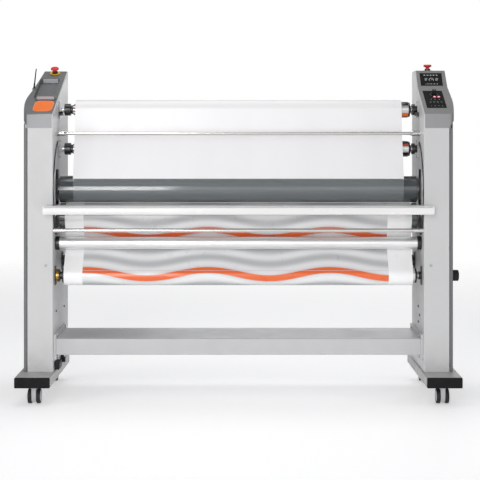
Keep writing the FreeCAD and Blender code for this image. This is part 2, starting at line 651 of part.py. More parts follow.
def make_left_console():
    x1 = -WALL_X - PLATE
    slab = left_shell(x1)
    y0, y1, tx0, tx1, depth = TRAY
    bucket = slope_block(y0 - 3, y1 + 3, tx0 - 3, tx1 + 3, -2, depth + 3, left_top, LEFT_SLOPE)
    pocket = slope_block(y0, y1, tx0, tx1, 20, depth, left_top, LEFT_SLOPE)
    pocket = rounded(pocket, 20.0, lambda p, e: abs(e.Length - depth - 20) < 0.1)
    y0, y1, rx0, rx1, height = RIDGE
    ridge = slope_block(y0, y1, rx0, rx1, height, 2, left_top, LEFT_SLOPE)
    ridge = rounded(ridge, 15.0, lambda p, e: not along(e, 0) and p.z > left_top(p.y) + height - 2)
    y0, y1, mx0, mx1, depth = MAT
    seat = slope_block(y0, y1, mx0, mx1, 20, depth, left_top, LEFT_SLOPE)
    seat = rounded(seat, MAT_R, lambda p, e: abs(e.Length - depth - 20) < 0.1)
    top = fuse(slab, bucket, ridge).cut(pocket).cut(seat)
    stop = estop_place(LEFT_STOP)
    top = top.cut(rod_along(stop[0] - stop[1] * 30, stop[1], 60, 12.0))
    ball = antenna_centre()
    cup = rod_z(ball.z - 9, ball.z - 2, ball.x, ball.y, BALL_R + 3.5)
    socket = Part.makeSphere(BALL_R + 0.4, ball)
    add("left_console", fuse(top, cup).cut(socket))
    mat = slope_block(y0 + 0.5, y1 - 0.5, mx0 + 0.5, mx1 - 0.5, 1.5, depth, left_top, LEFT_SLOPE)
    mat = rounded(mat, MAT_R - 0.5, lambda p, e: abs(e.Length - depth - 1.5) < 0.1)
    add("tool_mat", mat)
    line = LEFT_PROFILE
    base_x = -COVER_X1 + 5
    outer = prism_x(side_outline(line, COLUMN_TOP, SKIRT_DROP), base_x, x1)
    inner_line = [(line[0][0] + SHELL, line[0][1]), line[1], line[2], (line[3][0] - SHELL, line[3][1])]
    inner = prism_x(side_outline(inner_line, COLUMN_TOP - 1, SKIRT_DROP - 1), base_x + SHELL, x1 - SHELL)
    add("left_console_base", outer.cut(inner))


SCREEN = (51.0, 99.0, 864.0, 968.0)
PANEL = (-135.0, 12.0, 865.0, 956.0)
PANEL_T = 2.0


def right_facet(index):
    """Surface height and slope angle of one facet of the right console."""
    start, end = RIGHT_PROFILE[index], RIGHT_PROFILE[index + 1]
    angle = math.atan2(end[1] - start[1], end[0] - start[0])
    return (lambda y: on_slope(start, end, y)), angle


def make_right_console():
    x0, x1 = WALL_X + PLATE, 1000.0
    upper = prism_x(side_outline(RIGHT_PROFILE, COLUMN_TOP + 12), x0, x1)
    upper = rounded(upper, 4.0, lambda p, e: along(e, 0) and p.z > 1296)
    upper = upper.common(plan_prism(RIGHT_PLAN, x0, COLUMN_TOP, 1540.0))
    upper = upper.cut(prism_x(side_outline(RIGHT_PROFILE, COLUMN_TOP, SKIRT_DROP), COVER_X1 - 5, x1))
    lower = prism_x(side_outline(RIGHT_PROFILE, COLUMN_TOP, 10.0), x0, COVER_X1 - 5)
    lower = rounded(lower, 14.0, lambda p, e: along(e, 2) and p.y < COLUMN_FRONT + 1 and p.x > COVER_X1 - 6)
    whole = fuse(upper, lower)
    inside = [(y + (SHELL if y < 0 else -SHELL), z) for y, z in RIGHT_PROFILE]
    whole = whole.cut(prism_x(side_outline(inside, COLUMN_TOP - 1, SHELL * 1.6), x0 + SHELL, COVER_X1 - 5 - SHELL))
    stop = estop_place(RIGHT_STOP)
    whole = whole.cut(rod_along(stop[0] - stop[1] * 30, stop[1], 60, 12.0))
    panels = []
    for index, (y0, y1, px0, px1) in ((2, SCREEN), (1, PANEL)):
        surface, angle = right_facet(index)
        seat = slope_block(y0, y1, px0, px1, 10, PANEL_T, surface, angle)
        whole = whole.cut(seat)
        panels.append(slope_block(y0, y1, px0, px1, 0.6, PANEL_T, surface, angle))
    for x, y, radius in ((KNOB_X, KNOB_Y, KNOB_STUB_R), (START_X, BUTTON_Y, BUTTON_R), (STOP_X, BUTTON_Y, BUTTON_R)):
        surface, angle = right_facet(1)
        normal = vec(0, -math.sin(angle), math.cos(angle))
        hole = rod_along(vec(x, y, surface(y)) - normal * 25, normal, 50, radius + 0.3)
        whole = whole.cut(hole)
        panels[1] = panels[1].cut(hole)
    add("right_console", whole)
    add("display_screen", panels[0])
    add("control_panel", panels[1])


# --- controls -----------------------------------------------------------------
LEFT_STOP = (-902.0, 286.0)
RIGHT_STOP = (911.0, 160.0)
STOP_TRAVEL = 5.0
STOP_BODY = 12.0
STOP_NECK = 5.0
STOP_HEAD = 8.0
STOP_HEAD_R = 19.5


def estop_place(which):
    """Base point and axis of an emergency stop."""
    x, y = which
    if x < 0:
        return vec(x, y, left_top(y)), vec(0, -math.sin(LEFT_SLOPE), math.cos(LEFT_SLOPE))
    return vec(x, y, RIGHT_PROFILE[3][1]), vec(0, 0, 1)


def make_estops():
    collars = []
    for which, name in ((LEFT_STOP, "left_estop_button"), (RIGHT_STOP, "right_estop_button")):
        base, axis = estop_place(which)
        ring = rod_along(base, axis, 2.5, 25.0)
        body = rod_along(base, axis, STOP_BODY, 13.5)
        socket = rod_along(base - axis * 22, axis, 23, 11.0)
        hole = rod_along(base - axis * 18, axis, 40, 8 + RUN_CLEAR)
        collars.append(fuse(ring, body, socket).cut(hole))
        neck_base = STOP_BODY + STOP_TRAVEL + 1
        stem = rod_along(base - axis * 8, axis, 8 + neck_base + 2, 8.0)
        neck = Part.makeCone(11.5, STOP_HEAD_R, STOP_NECK, base + axis * neck_base, axis)
        head_base = neck_base + STOP_NECK
        head = rod_along(base + axis * head_base, axis, STOP_HEAD, STOP_HEAD_R)
        head = rounded(head, 4.0, lambda p, e: (p - base).dot(axis) > head_base + STOP_HEAD - 1
                       and e.Curve.TypeId == "Part::GeomCircle")
        add(name, fuse(stem, neck, head))
    add("estop_collars", *collars)


KNOB_X, KNOB_Y, KNOB_STUB_R = 914.0, -18.0, 3.0
START_X, STOP_X, BUTTON_Y, BUTTON_R = 913.0, 932.0, -45.0, 7.0
BUTTON_TRAVEL = 2.0


def make_panel_controls():
    surface, angle = right_facet(1)
    normal = vec(0, -math.sin(angle), math.cos(angle))
    base = vec(KNOB_X, KNOB_Y, surface(KNOB_Y))
    skirt = rod_along(base + normal * 1.1, normal, 5, 12.5)
    grip = Part.makeCone(10.5, 9.5, 17, base + normal * 6, normal)
    stub = rod_along(base - normal * 12, normal, 15, KNOB_STUB_R)
    add("speed_knob", fuse(skirt, grip, stub))
    for x, name in ((START_X, "start_button"), (STOP_X, "stop_button")):
        foot = vec(x, BUTTON_Y, surface(BUTTON_Y))
        cap = rod_along(foot - normal * 8, normal, 8 + 4.5, BUTTON_R)
        cap = rounded(cap, 1.5, lambda p, e: (p - foot).dot(normal) > 4 and e.Curve.TypeId == "Part::GeomCircle")
        add(name, cap)


def make_tension_knob():
    y, z = SHAFTS["unwind"][:2]
    grip = rod_x(COVER_X1 + 2, COVER_X1 + 37, y, z, 25.5)
    grip = rounded(grip, 4.0, lambda p, e: e.Curve.TypeId == "Part::GeomCircle" and p.x > COVER_X1 + 36)
    stub = rod_x(COVER_X1 - 22, COVER_X1 + 3, y, z, 8)
    grooves = 12
    for i in range(grooves):
        turn = 2 * math.pi * i / grooves
        grip = grip.cut(rod_x(COVER_X1 + 8, COVER_X1 + 40, y + 27 * math.cos(turn), z + 27 * math.sin(turn), 3.5))
    add("tension_knob", fuse(grip, stub))


def antenna_centre():
    return vec(ANTENNA_X, ANTENNA_Y, left_top(ANTENNA_Y) + 5)


def make_antenna():
    """Radio antenna for the foot switch, on a ball that sits in a cup of the console."""
    centre = antenna_centre()
    lean = vec(math.sin(ANTENNA_LEAN), 0, math.cos(ANTENNA_LEAN))
    ball = Part.makeSphere(BALL_R, centre)
    sleeve = rod_along(centre + lean * 3, lean, 19, 4)
    whip = Part.makeCone(3.2, 2.4, 72, centre + lean * 21, lean)
    add("antenna", fuse(ball, sleeve, whip))


def cable(points, radius):
    """Round cable along straight runs joined by tangent arcs."""
    edges = []
    last = points[0]
    for before, corner, after in zip(points, points[1:], points[2:]):
        a, b = before - corner, after - corner
        half = a.getAngle(b) / 2
        bend = 0.45 * min(a.Length, b.Length) * math.tan(half)
        cut = bend / math.tan(half)
        a.normalize()
        b.normalize()
        middle = a + b
        middle.normalize()
        start, end = corner + a * cut, corner + b * cut
        top = corner + middle * (bend / math.sin(half) - bend)
        edges += [Part.LineSegment(last, start).toShape(), Part.Arc(start, top, end).toShape()]
        last = end
    edges.append(Part.LineSegment(last, points[-1]).toShape())
    spine = Part.Wire(edges)
    ring = Part.Wire(Part.Circle(points[0], points[1] - points[0], radius).toShape())
    return spine.makePipeShell([ring], True, True)


def make_inlets():
    """Mains inlet and air inlet at the back, and the wired-in lead at the foot of the left wall."""
    back = LEFT_BACK
    socket = box(-930, -880, back, back + 6, 190, 250)
    socket = rounded(socket, 4.0, lambda p, e: along(e, 1))
    well = box(-920, -890, back + 1, back + 7, 205, 228)
    air = rod_y(back, back + 14, -905, 300, 11).cut(rod_y(back + 2, back + 15, -905, 300, 5))
    wall = -WALL_X
    front_box = box(wall, wall + 24, -138, -62, 130, 164)
    front_box = rounded(front_box, 5.0, lambda p, e: along(e, 1) and p.x > wall + 20)
    rear_box = box(wall, wall + 22, 58, 80, 130, 152)
    route = [vec(wall + 12, -62, 150), vec(wall + 13, -30, 152), vec(wall + 15, -2, 176),
             vec(wall + 15, 34, 178), vec(wall + 12, 64, 170), vec(wall + 11, 70, 152)]
    add("service_inlets", socket.cut(well), air, fuse(front_box, cable(route, 4.0), rear_box))


# --- webs ---------------------------------------------------------------------
def tangent(c1, s1, c2, s2):
    """Straight run touching two circles. A circle's signed radius is positive where
    the run passes it on the run's own left. Returns both touch points and the angle."""
    dy, dz = c2[0] - c1[0], c2[1] - c1[1]
    theta = math.atan2(dz, dy) + math.acos((s1 - s2) / math.hypot(dy, dz))
    n = (math.cos(theta), math.sin(theta))
    return ((c1[0] + s1 * n[0], c1[1] + s1 * n[1]), (c2[0] + s2 * n[0], c2[1] + s2 * n[1])), theta


def around(centre, reach, angle, x):
    return vec(x, centre[0] + reach * math.cos(angle), centre[1] + reach * math.sin(angle))


def bend(centre, radius, start, sweep, thickness, x):
    """Face of a web's bend round one circle."""
    edges = []
    corners = []
    for reach in (radius + thickness / 2, radius - thickness / 2):
        first, middle, last = (around(centre, reach, start + sweep * share, x) for share in (0, 0.5, 1))
        edges.append(Part.Arc(first, middle, last).toShape())
        corners.append((first, last))
    for a, b in zip(*corners):
        edges.append(Part.LineSegment(a, b).toShape())
    return Part.Face(Part.Wire(Part.__sortEdges__(edges)))


def ribbon(circles, thickness, half_width):
    """Thin web that runs round the circles [(centre, signed radius), ...]: its flat runs and its bends."""
    runs = [tangent(a[0], a[1], b[0], b[1]) for a, b in zip(circles, circles[1:])]
    faces = []
    for (p, q), angle in runs:
        shift = vec(0, math.cos(angle), math.sin(angle)) * (thickness / 2)
        start, end = vec(-half_width, *p), vec(-half_width, *q)
        corners = [start + shift, end + shift, end - shift, start - shift]
        faces.append(Part.Face(Part.makePolygon(corners + corners[:1])))
    for (centre, radius), before, after in zip(circles[1:], runs, runs[1:]):
        sweep = turned(before[1], after[1])
        faces.append(bend(centre, radius, before[1], sweep, thickness, -half_width))
    return [face.extrude(vec(2 * half_width, 0, 0)) for face in faces]


def turned(a, b):
    """The smaller turn from angle a to angle b."""
    return (b - a + math.pi) % (2 * math.pi) - math.pi


def make_webs():
    reach = WEB_GAP + PRINT_T / 2
    unwind, takeup = SHAFTS["unwind"], SHAFTS["takeup"]
    path = [(unwind[:2], unwind[3] + reach), ((IDLER_Y, IDLER_Z), -(IDLER_R + reach)),
            ((ROLLER_Y, LOWER_Z), ROLLER_R + reach), (takeup[:2], takeup[3] + reach)]
    add("print_web", *ribbon(path, PRINT_T, PRINT_HALF))
    supply, rewind = SHAFTS["supply"], SHAFTS["rewind"]
    reach = WEB_GAP + FILM_T / 2
    raised = (ROLLER_Y, UPPER_Z + LIFT)
    away = ROLLER_R + LIFT_GAP + FOLD_R + FILM_T
    fold = (raised[0] - away * math.sin(FOLD_ANGLE), raised[1] + away * math.cos(FOLD_ANGLE))
    path = [(supply[:2], -(supply[3] + reach)), ((GUIDE_Y, GUIDE_Z), GUIDE_R + reach),
            (fold, -FOLD_R), (rewind[:2], rewind[3] + reach)]
    liner = ribbon(path, FILM_T, FILM_HALF)
    nip_point = (ROLLER_Y - 20, LOWER_Z + ROLLER_R + NIP_GAP + 1)
    path = [(fold, -(FOLD_R + FILM_T + WEB_GAP)), ((ROLLER_Y, UPPER_Z), -(ROLLER_R + 2 * WEB_GAP)),
            (nip_point, -0.01)]
    clear = ribbon(path, FILM_T / 2, FILM_HALF)
    add("film_web", *liner, *clear)


# --- assembly -----------------------------------------------------------------
def make_all():
    make_feet()
    for row, y in (("front", -CASTOR_Y), ("back", CASTOR_Y)):
        for column, x in (("left", -FOOT_X), ("right", FOOT_X)):
            make_castor(row + "_" + column, x, y)
    for side, label, profile in ((-1, "left", LEFT_PROFILE), (1, "right", RIGHT_PROFILE)):
        make_side_frame(label + "_side_frame", profile, side)
    add("side_covers", side_cover(LEFT_PROFILE, -1), side_cover(RIGHT_PROFILE, 1))
    make_rollers()
    make_roller_guides()
    make_gear_motor()
    make_shafts()
    make_saddles()
    make_bars()
    make_idler()
    make_table()
    make_table_arms()
    make_crossbar()
    make_screws()
    make_left_console()
    make_right_console()
    make_estops()
    make_panel_controls()
    make_tension_knob()
    make_antenna()
    make_inlets()
    make_webs()


def write_parts():
    os.makedirs("parts", exist_ok=True)
    for name, shapes in SHAPES.items():
        solids = [s for shape in shapes for s in shape.Solids]
        whole = solids[0] if len(solids) == 1 else Part.makeCompound(solids)
        whole.exportStep(os.path.join("parts", name + ".step"))
        print(f"{name}: {len(solids)} solid(s), valid {whole.isValid()}, {sum(s.Volume for s in solids) / 1000:.1f} cm3")
    print(len(SHAPES), "nodes")


make_all()
write_parts()
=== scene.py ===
import math

import bmesh
import bpy
from mathutils import Matrix, Vector, noise


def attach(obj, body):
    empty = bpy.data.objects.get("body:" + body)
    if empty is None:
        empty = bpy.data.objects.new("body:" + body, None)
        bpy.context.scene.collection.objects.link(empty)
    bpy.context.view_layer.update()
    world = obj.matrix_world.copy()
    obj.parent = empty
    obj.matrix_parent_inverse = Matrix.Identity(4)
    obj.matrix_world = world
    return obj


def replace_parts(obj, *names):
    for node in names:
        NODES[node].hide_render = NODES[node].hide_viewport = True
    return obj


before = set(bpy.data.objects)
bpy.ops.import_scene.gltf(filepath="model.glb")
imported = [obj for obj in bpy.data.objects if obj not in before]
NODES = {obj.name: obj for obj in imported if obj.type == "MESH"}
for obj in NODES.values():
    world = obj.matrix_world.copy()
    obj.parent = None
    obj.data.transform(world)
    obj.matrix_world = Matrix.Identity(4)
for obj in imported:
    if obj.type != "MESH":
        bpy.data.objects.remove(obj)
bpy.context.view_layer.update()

MM = 0.001

# --- dimensions of the machine, in millimetres ----------------------------------
ROLLER_Y, ROLLER_R, LOWER_Z, UPPER_Z = -39.0, 62.5, 825.5, 952.5
LIFT = 35.0
# winding shafts: Y, Z, half width and radius of the roll
SHAFTS = {
    "supply": (15.0, 1324.0, 762.0, 45.5),
    "rewind": (15.0, 1140.0, 762.0, 45.0),
    "unwind": (-104.0, 558.0, 800.0, 45.0),
    "takeup": (115.0, 605.0, 800.0, 43.0),
}
CORE_R = 38.1
TUBE_R = 35.0
GUIDE = (-50.0, 1213.0, 7.0)
IDLER = (-89.0, 706.0, 29.0)
WEB_T = 0.4
WEB_REACH = 0.6
FOLD_R = 4.0
FOLD_ANGLE = math.radians(74.0)
JAW_ANGLES = (270, 30, 150)


# --- colours and node materials --------------------------------------------------
def rgb(code):
    """Linear colour of an sRGB hex code."""
    values = [int(code[i:i + 2], 16) / 255 for i in (0, 2, 4)]
    return tuple(v / 12.92 if v <= 0.04045 else ((v + 0.055) / 1.055) ** 2.4 for v in values) + (1.0,)


def shade(color, factor):
    return tuple(min(1.0, c * factor) for c in color[:3]) + (1.0,)


class Look:
    """A node material being put together."""

    def __init__(self, name, **sockets):
        self.material = bpy.data.materials.new(name)
        self.material.use_nodes = True
        self.tree = self.material.node_tree
        self.shader = self.tree.nodes["Principled BSDF"]
        self.place = self.add("TexCoord").outputs["Object"]
        for key, value in sockets.items():
            self.feed(self.shader.inputs[key.replace("_", " ")], value)

    def add(self, kind, inputs=None, **settings):
        node = self.tree.nodes.new("ShaderNode" + kind)
        for key, value in settings.items():
            setattr(node, key, value)
        for key, value in (inputs or {}).items():
            self.feed(node.inputs[key], value)
        return node

    def feed(self, socket, value):
        if isinstance(value, bpy.types.NodeSocket):
            self.tree.links.new(value, socket)
        else:
            socket.default_value = value

    def set(self, **sockets):
        for key, value in sockets.items():
            self.feed(self.shader.inputs[key.replace("_", " ")], value)
        return self

    def noise(self, scale, detail=2.0, stretch=(1, 1, 1), rough=0.5, place=None):
        where = self.add("Mapping", {"Vector": place or self.place, "Scale": stretch})
        made = self.add("TexNoise", {"Vector": where.outputs[0], "Scale": scale,
                                     "Detail": detail, "Roughness": rough})
        return made.outputs["Fac"]

    def range(self, value, low, high, to_low=0.0, to_high=1.0):
        made = self.add("MapRange", {"Value": value, "From Min": low, "From Max": high,
                                     "To Min": to_low, "To Max": to_high})
        return made.outputs["Result"]

    def mix(self, factor, a, b, how="MIX"):
        made = self.add("Mix", data_type="RGBA", blend_type=how)
        for index, value in ((0, factor), (6, a), (7, b)):
            self.feed(made.inputs[index], value)
        return made.outputs[2]

    def math(self, how, *values):
        made = self.add("Math", operation=how)
        for index, value in enumerate(values):
            self.feed(made.inputs[index], value)
        return made.outputs[0]

    def axes(self, place=None):
        return self.add("SeparateXYZ", {"Vector": place or self.place}).outputs

    def bump(self, height, strength, distance=0.001):
        made = self.add("Bump", {"Height": height, "Strength": strength, "Distance": distance})
        self.feed(self.shader.inputs["Normal"], made.outputs[0])
        return self


def painted(name, code, rough=0.42, grime=0.0):
    """Powder-coated steel: fine orange peel, slight blotches, scuffs and some dust near the floor."""
    base = rgb(code)
    look = Look(name, Metallic=0.0, Specular_IOR_Level=0.5, Coat_Weight=0.12, Coat_Roughness=0.3)
    blotch = look.range(look.noise(2.2, 4), 0.3, 0.7)
    color = look.mix(blotch, shade(base, 0.965), shade(base, 1.025))
    speck = look.range(look.noise(1400, 1), 0.42, 0.6)
    color = look.mix(look.math("MULTIPLY", speck, 0.10), color, shade(base, 0.8))
    scuff = look.range(look.noise(9, 6, (1, 1, 0.25), 0.7), 0.66, 0.78)
    color = look.mix(look.math("MULTIPLY", scuff, 0.10), color, shade(base, 0.72))
    if grime:
        low = look.range(look.axes()[2], 0.35, 0.08)
        dust = look.math("MULTIPLY", low, look.range(look.noise(14, 5), 0.35, 0.75))
        color = look.mix(look.math("MULTIPLY", dust, grime), color, rgb("8C8880"))
    roughness = look.range(look.noise(16, 5), 0.3, 0.7, rough - 0.05, rough + 0.08)
    look.set(Base_Color=color, Roughness=roughness)
    return look.bump(look.noise(520, 2), 0.22, 0.0004).material


def moulded(name, code, rough=0.5, grain=900, depth=0.25, coat=0.0, shine=0.5):
    """Textured plastic: a fine spark-eroded grain and faint wear."""
    base = rgb(code)
    look = Look(name, Coat_Weight=coat, Coat_Roughness=0.15, Specular_IOR_Level=shine)
    cloud = look.range(look.noise(6, 4), 0.3, 0.7)
    color = look.mix(cloud, shade(base, 0.94), shade(base, 1.05))
    rub = look.range(look.noise(30, 6, (1, 0.4, 0.4), 0.7), 0.62, 0.8)
    color = look.mix(look.math("MULTIPLY", rub, 0.18), color, shade(base, 1.5))
    look.set(Base_Color=color, Roughness=look.range(look.noise(40, 5), 0.3, 0.7, rough - 0.06, rough + 0.07))
    return look.bump(look.noise(grain, 2), depth, 0.0003).material


def turned_metal(name, code, rough=0.28, stretch=(60, 1, 1), metallic=0.95, grooves=0.12, scale=40):
    """Metal with fine tool marks, stretched as the marks run."""
    base = rgb(code)
    look = Look(name, Metallic=metallic, Specular_IOR_Level=0.6)
    marks = look.noise(scale, 4, stretch, 0.6)
    cloud = look.noise(5, 3)
    color = look.mix(look.range(cloud, 0.3, 0.7), shade(base, 0.93), shade(base, 1.04))
    color = look.mix(look.math("MULTIPLY", look.range(marks, 0.35, 0.65), 0.14), color, shade(base, 0.7))
    look.set(Base_Color=color, Roughness=look.range(marks, 0.3, 0.7, rough - 0.06, rough + 0.09))
    return look.bump(marks, grooves, 0.00005).material


def rubber(name, code, rough=0.6, rings=0.0, coat=0.0, ior=1.5):
    base = rgb(code)
    look = Look(name, Coat_Weight=coat, Coat_Roughness=0.06, IOR=ior)
    cloud = look.range(look.noise(4, 5), 0.3, 0.7)
    color = look.mix(cloud, shade(base, 0.93), shade(base, 1.06))
    dust = look.range(look.noise(260, 2), 0.62, 0.75)
    color = look.mix(look.math("MULTIPLY", dust, 0.12), color, shade(base, 1.6))
    look.set(Base_Color=color)
    fine = look.noise(700, 2)
    height = fine
    if rings:
        height = look.math("ADD", fine, look.math("MULTIPLY", look.noise(60, 3, (30, 1, 1)), rings))
    look.set(Roughness=look.range(look.noise(22, 4), 0.3, 0.7, rough - 0.04, rough + 0.06))
    return look.bump(height, 0.12, 0.0002).material


def layered(name, code, shaft, rough=0.35):
    """Wound film or paper: a satin skin with the windings showing as rings at the ends."""
    y, z = (v * MM for v in SHAFTS[shaft][:2])
    base = rgb(code)
    look = Look(name, Specular_IOR_Level=0.5)
    axes = look.axes()
    dy, dz = look.math("SUBTRACT", axes[1], y), look.math("SUBTRACT", axes[2], z)
    radius = look.math("SQRT", look.math("ADD", look.math("MULTIPLY", dy, dy), look.math("MULTIPLY", dz, dz)))
    rings = look.math("SINE", look.math("MULTIPLY", radius, 2 * math.pi / 0.0007))
    color = look.mix(look.range(rings, -1, 1, 0, 0.22), base, shade(base, 0.6))
    core = look.math("LESS_THAN", radius, (CORE_R + 3.2) * MM)
    color = look.mix(core, color, rgb("B39B78"))
    look.set(Base_Color=color, Roughness=look.range(look.noise(8, 3), 0.3, 0.7, rough - 0.05, rough + 0.05))
    return look.bump(look.noise(5, 2, (0.4, 1, 1)), 0.10, 0.002).material


def flat_film(name, code, rough=0.34):
    """White release film under tension: satin, with broad soft tension waves across it."""
    base = rgb(code)
    look = Look(name, Specular_IOR_Level=0.5, Coat_Weight=0.15, Coat_Roughness=0.2)
    waves = look.noise(2.6, 3, (1.6, 0.4, 0.35))
    color = look.mix(look.range(waves, 0.3, 0.7), shade(base, 0.975), shade(base, 1.02))
    look.set(Base_Color=color, Roughness=look.range(look.noise(20, 4), 0.3, 0.7, rough - 0.04, rough + 0.05))
    return look.bump(waves, 0.10, 0.01).material


def clear_film(name):
    """Clear laminating film: nearly invisible apart from its gloss."""
    look = Look(name, Roughness=0.05, Alpha=0.10, IOR=1.5, Base_Color=rgb("DDE4E8"))
    return look.bump(look.noise(3, 2, (1, 1, 1)), 0.05, 0.01).material


def clean(name, code, rough=0.3, metallic=0.0, glow=0.0):
    """Small trim: one paint with faint handling marks."""
    base = rgb(code)
    look = Look(name, Metallic=metallic)
    color = look.mix(look.range(look.noise(60, 4), 0.35, 0.65), shade(base, 0.92), shade(base, 1.05))
    look.set(Base_Color=color, Roughness=look.range(look.noise(120, 4), 0.3, 0.7, rough - 0.05, rough + 0.06))
    if glow:
        look.set(Emission_Color=base, Emission_Strength=glow)
    return look.bump(look.noise(800, 2), 0.08, 0.0002).material


# --- pattern of the printed web ----------------------------------------------------
PRINT_LEFT, PRINT_RIGHT = -0.714, 0.688
WAVE_LENGTH, WAVE_HEIGHT = 0.56, 0.020
BAND_PITCH = 0.070
ACCENT_EVERY = 3


def print_look(name):
    """Gloss print of evenly spaced grey waves, every third one orange, with plain white margins."""
    look = Look(name, Specular_IOR_Level=0.5, Coat_Weight=0.25, Coat_Roughness=0.12)
    axes = look.axes(look.add("TexCoord").outputs["UV"])
    u, v = axes[0], axes[1]
    swing = look.math("SINE", look.math("MULTIPLY", u, 2 * math.pi / WAVE_LENGTH))
    height = look.math("ADD", v, look.math("MULTIPLY", swing, WAVE_HEIGHT))
    bands = look.math("SINE", look.math("MULTIPLY", height, 2 * math.pi / BAND_PITCH))
    color = look.mix(look.range(bands, -0.9, 0.9), rgb("BFC0C2"), rgb("ECECED"))
    accent = look.math("SINE", look.math("MULTIPLY", height, 2 * math.pi / (BAND_PITCH * ACCENT_EVERY)))
    color = look.mix(look.range(accent, 0.88, 0.92), color, rgb("EE6A30"))
    inside = look.math("MULTIPLY", look.math("GREATER_THAN", u, PRINT_LEFT),
                       look.math("LESS_THAN", u, PRINT_RIGHT))
    color = look.mix(inside, rgb("FCFCFC"), color)
    look.set(Base_Color=color, Roughness=look.range(look.noise(14, 3), 0.3, 0.7, 0.26, 0.36))
    return look.bump(look.noise(2.4, 3, (1.5, 0.5, 0.5)), 0.08, 0.008).material


# --- mesh helpers --------------------------------------------------------------------
def piece(name, verts, faces, looks, body, sharp=32.0, uvs=None):
    """A mesh with its corners in millimetres, that rides on a body."""
    mesh = bpy.data.meshes.new(name)
    mesh.from_pydata([Vector(v) * MM for v in verts], [], faces)
    for look in looks if isinstance(looks, (list, tuple)) else [looks]:
        mesh.materials.append(look)
    if uvs:
        layer = mesh.uv_layers.new(name="UVMap")
        for loop in mesh.loops:
            layer.data[loop.index].uv = uvs[loop.vertex_index]
    mesh.validate()
    mesh.shade_smooth()
    mesh.set_sharp_from_angle(angle=math.radians(sharp))
    obj = bpy.data.objects.new(name, mesh)
    bpy.context.scene.collection.objects.link(obj)
    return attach(obj, body)


def lathe_mesh(profile, centre, segments=64, start=0.0, sweep=2 * math.pi, ring=True):
    """Turns a closed (x, r) outline about the X axis through centre (y, z)."""
    verts, faces = [], []
    steps = segments if ring else segments + 1
    for i in range(steps):
        angle = start + sweep * i / segments
        verts += [(x, centre[0] + r * math.cos(angle), centre[1] + r * math.sin(angle)) for x, r in profile]
    n = len(profile)
    for i in range(segments):
        a, b = i * n, ((i + 1) % steps) * n
        faces += [(a + j, a + (j + 1) % n, b + (j + 1) % n, b + j) for j in range(n)]
    if not ring:
        faces += [tuple(range(n))[::-1], tuple(range(segments * n, segments * n + n))]
    return verts, faces


def lathe(name, profile, centre, looks, body, **settings):
    verts, faces = lathe_mesh(profile, centre, **settings)
    made = piece(name, verts, faces, looks, body)
    fix_normals(made)
    return made


def fix_normals(obj):
    mesh = bmesh.new()
    mesh.from_mesh(obj.data)
    bmesh.ops.recalc_face_normals(mesh, faces=mesh.faces)
    mesh.to_mesh(obj.data)
    mesh.free()


def rounded_rect(u0, u1, v0, v1, radius, steps=6):
    points = []
    corners = ((u1 - radius, v1 - radius, 0), (u0 + radius, v1 - radius, 1),
               (u0 + radius, v0 + radius, 2), (u1 - radius, v0 + radius, 3))
    for cu, cv, quarter in corners:
        for i in range(steps + 1):
            angle = (quarter + i / steps) * math.pi / 2
            points.append((cu + radius * math.cos(angle), cv + radius * math.sin(angle)))
    return points


def circle(cu, cv, radius, steps=24):
    return [(cu + radius * math.cos(2 * math.pi * i / steps), cv + radius * math.sin(2 * math.pi * i / steps))
            for i in range(steps)]


def ring_plate(cu, cv, inner, outer, start, sweep, steps=20):
    """Outline of a flat arc."""
    angles = [start + sweep * i / steps for i in range(steps + 1)]
    out = [(cu + outer * math.cos(a), cv + outer * math.sin(a)) for a in angles]
    return out + [(cu + inner * math.cos(a), cv + inner * math.sin(a)) for a in reversed(angles)]


class Place:
    """A flat place on the machine: u runs along X, v up the slope and w out of the surface."""

    def __init__(self, origin, slope):
        self.origin = Vector(origin)
        self.u = Vector((1, 0, 0))
        self.v = Vector((0, math.cos(slope), math.sin(slope)))
        self.w = Vector((0, -math.sin(slope), math.cos(slope)))

    def at(self, u, v, w):
        return self.origin + self.u * u + self.v * v + self.w * w


def plates(name, place, outlines, low, high, looks, body, bevel=0.0, sharp=32.0):
    """Flat pieces with the given (u, v) outlines, from height low to height high, in one mesh."""
    mesh = bmesh.new()
    for outline in outlines:
        corners = [mesh.verts.new(place.at(u, v, low)) for u, v in outline]
        face = mesh.faces.new(corners)
        made = bmesh.ops.extrude_face_region(mesh, geom=[face])
        top = [g for g in made["geom"] if isinstance(g, bmesh.types.BMVert)]
        bmesh.ops.translate(mesh, verts=top, vec=place.w * (high - low))
        if bevel:
            rim = {e for g in made["geom"] if isinstance(g, bmesh.types.BMFace) for e in g.edges}
            bmesh.ops.bevel(mesh, geom=list(rim), offset=bevel, segments=3, affect="EDGES", profile=0.6)
    bmesh.ops.recalc_face_normals(mesh, faces=mesh.faces)
    verts = [v.co.copy() for v in mesh.verts]
    mesh.verts.index_update()
    faces = [[v.index for v in f.verts] for f in mesh.faces]
    mesh.free()
    return piece(name, verts, faces, looks, body, sharp)


def paint(node, *rules):
    """Gives a CAD node's faces their materials. Each rule is (material, test of the face's middle in mm)."""
    obj = NODES[node]
    obj.data.materials.clear()
    for look, _ in rules:
        obj.data.materials.append(look)
    for face in obj.data.polygons:
        x, y, z = face.center / MM
        face.material_index = next(i for i, (_, test) in enumerate(rules) if test is None or test(x, y, z))


# --- paths of the webs -----------------------------------------------------------------
def tangent(c1, s1, c2, s2):
    """Straight run that touches two circles, with signed radii, and the angle of its side."""
    dy, dz = c2[0] - c1[0], c2[1] - c1[1]
    theta = math.atan2(dz, dy) + math.acos((s1 - s2) / math.hypot(dy, dz))
    n = (math.cos(theta), math.sin(theta))
    return (c1[0] + s1 * n[0], c1[1] + s1 * n[1]), (c2[0] + s2 * n[0], c2[1] + s2 * n[1]), theta


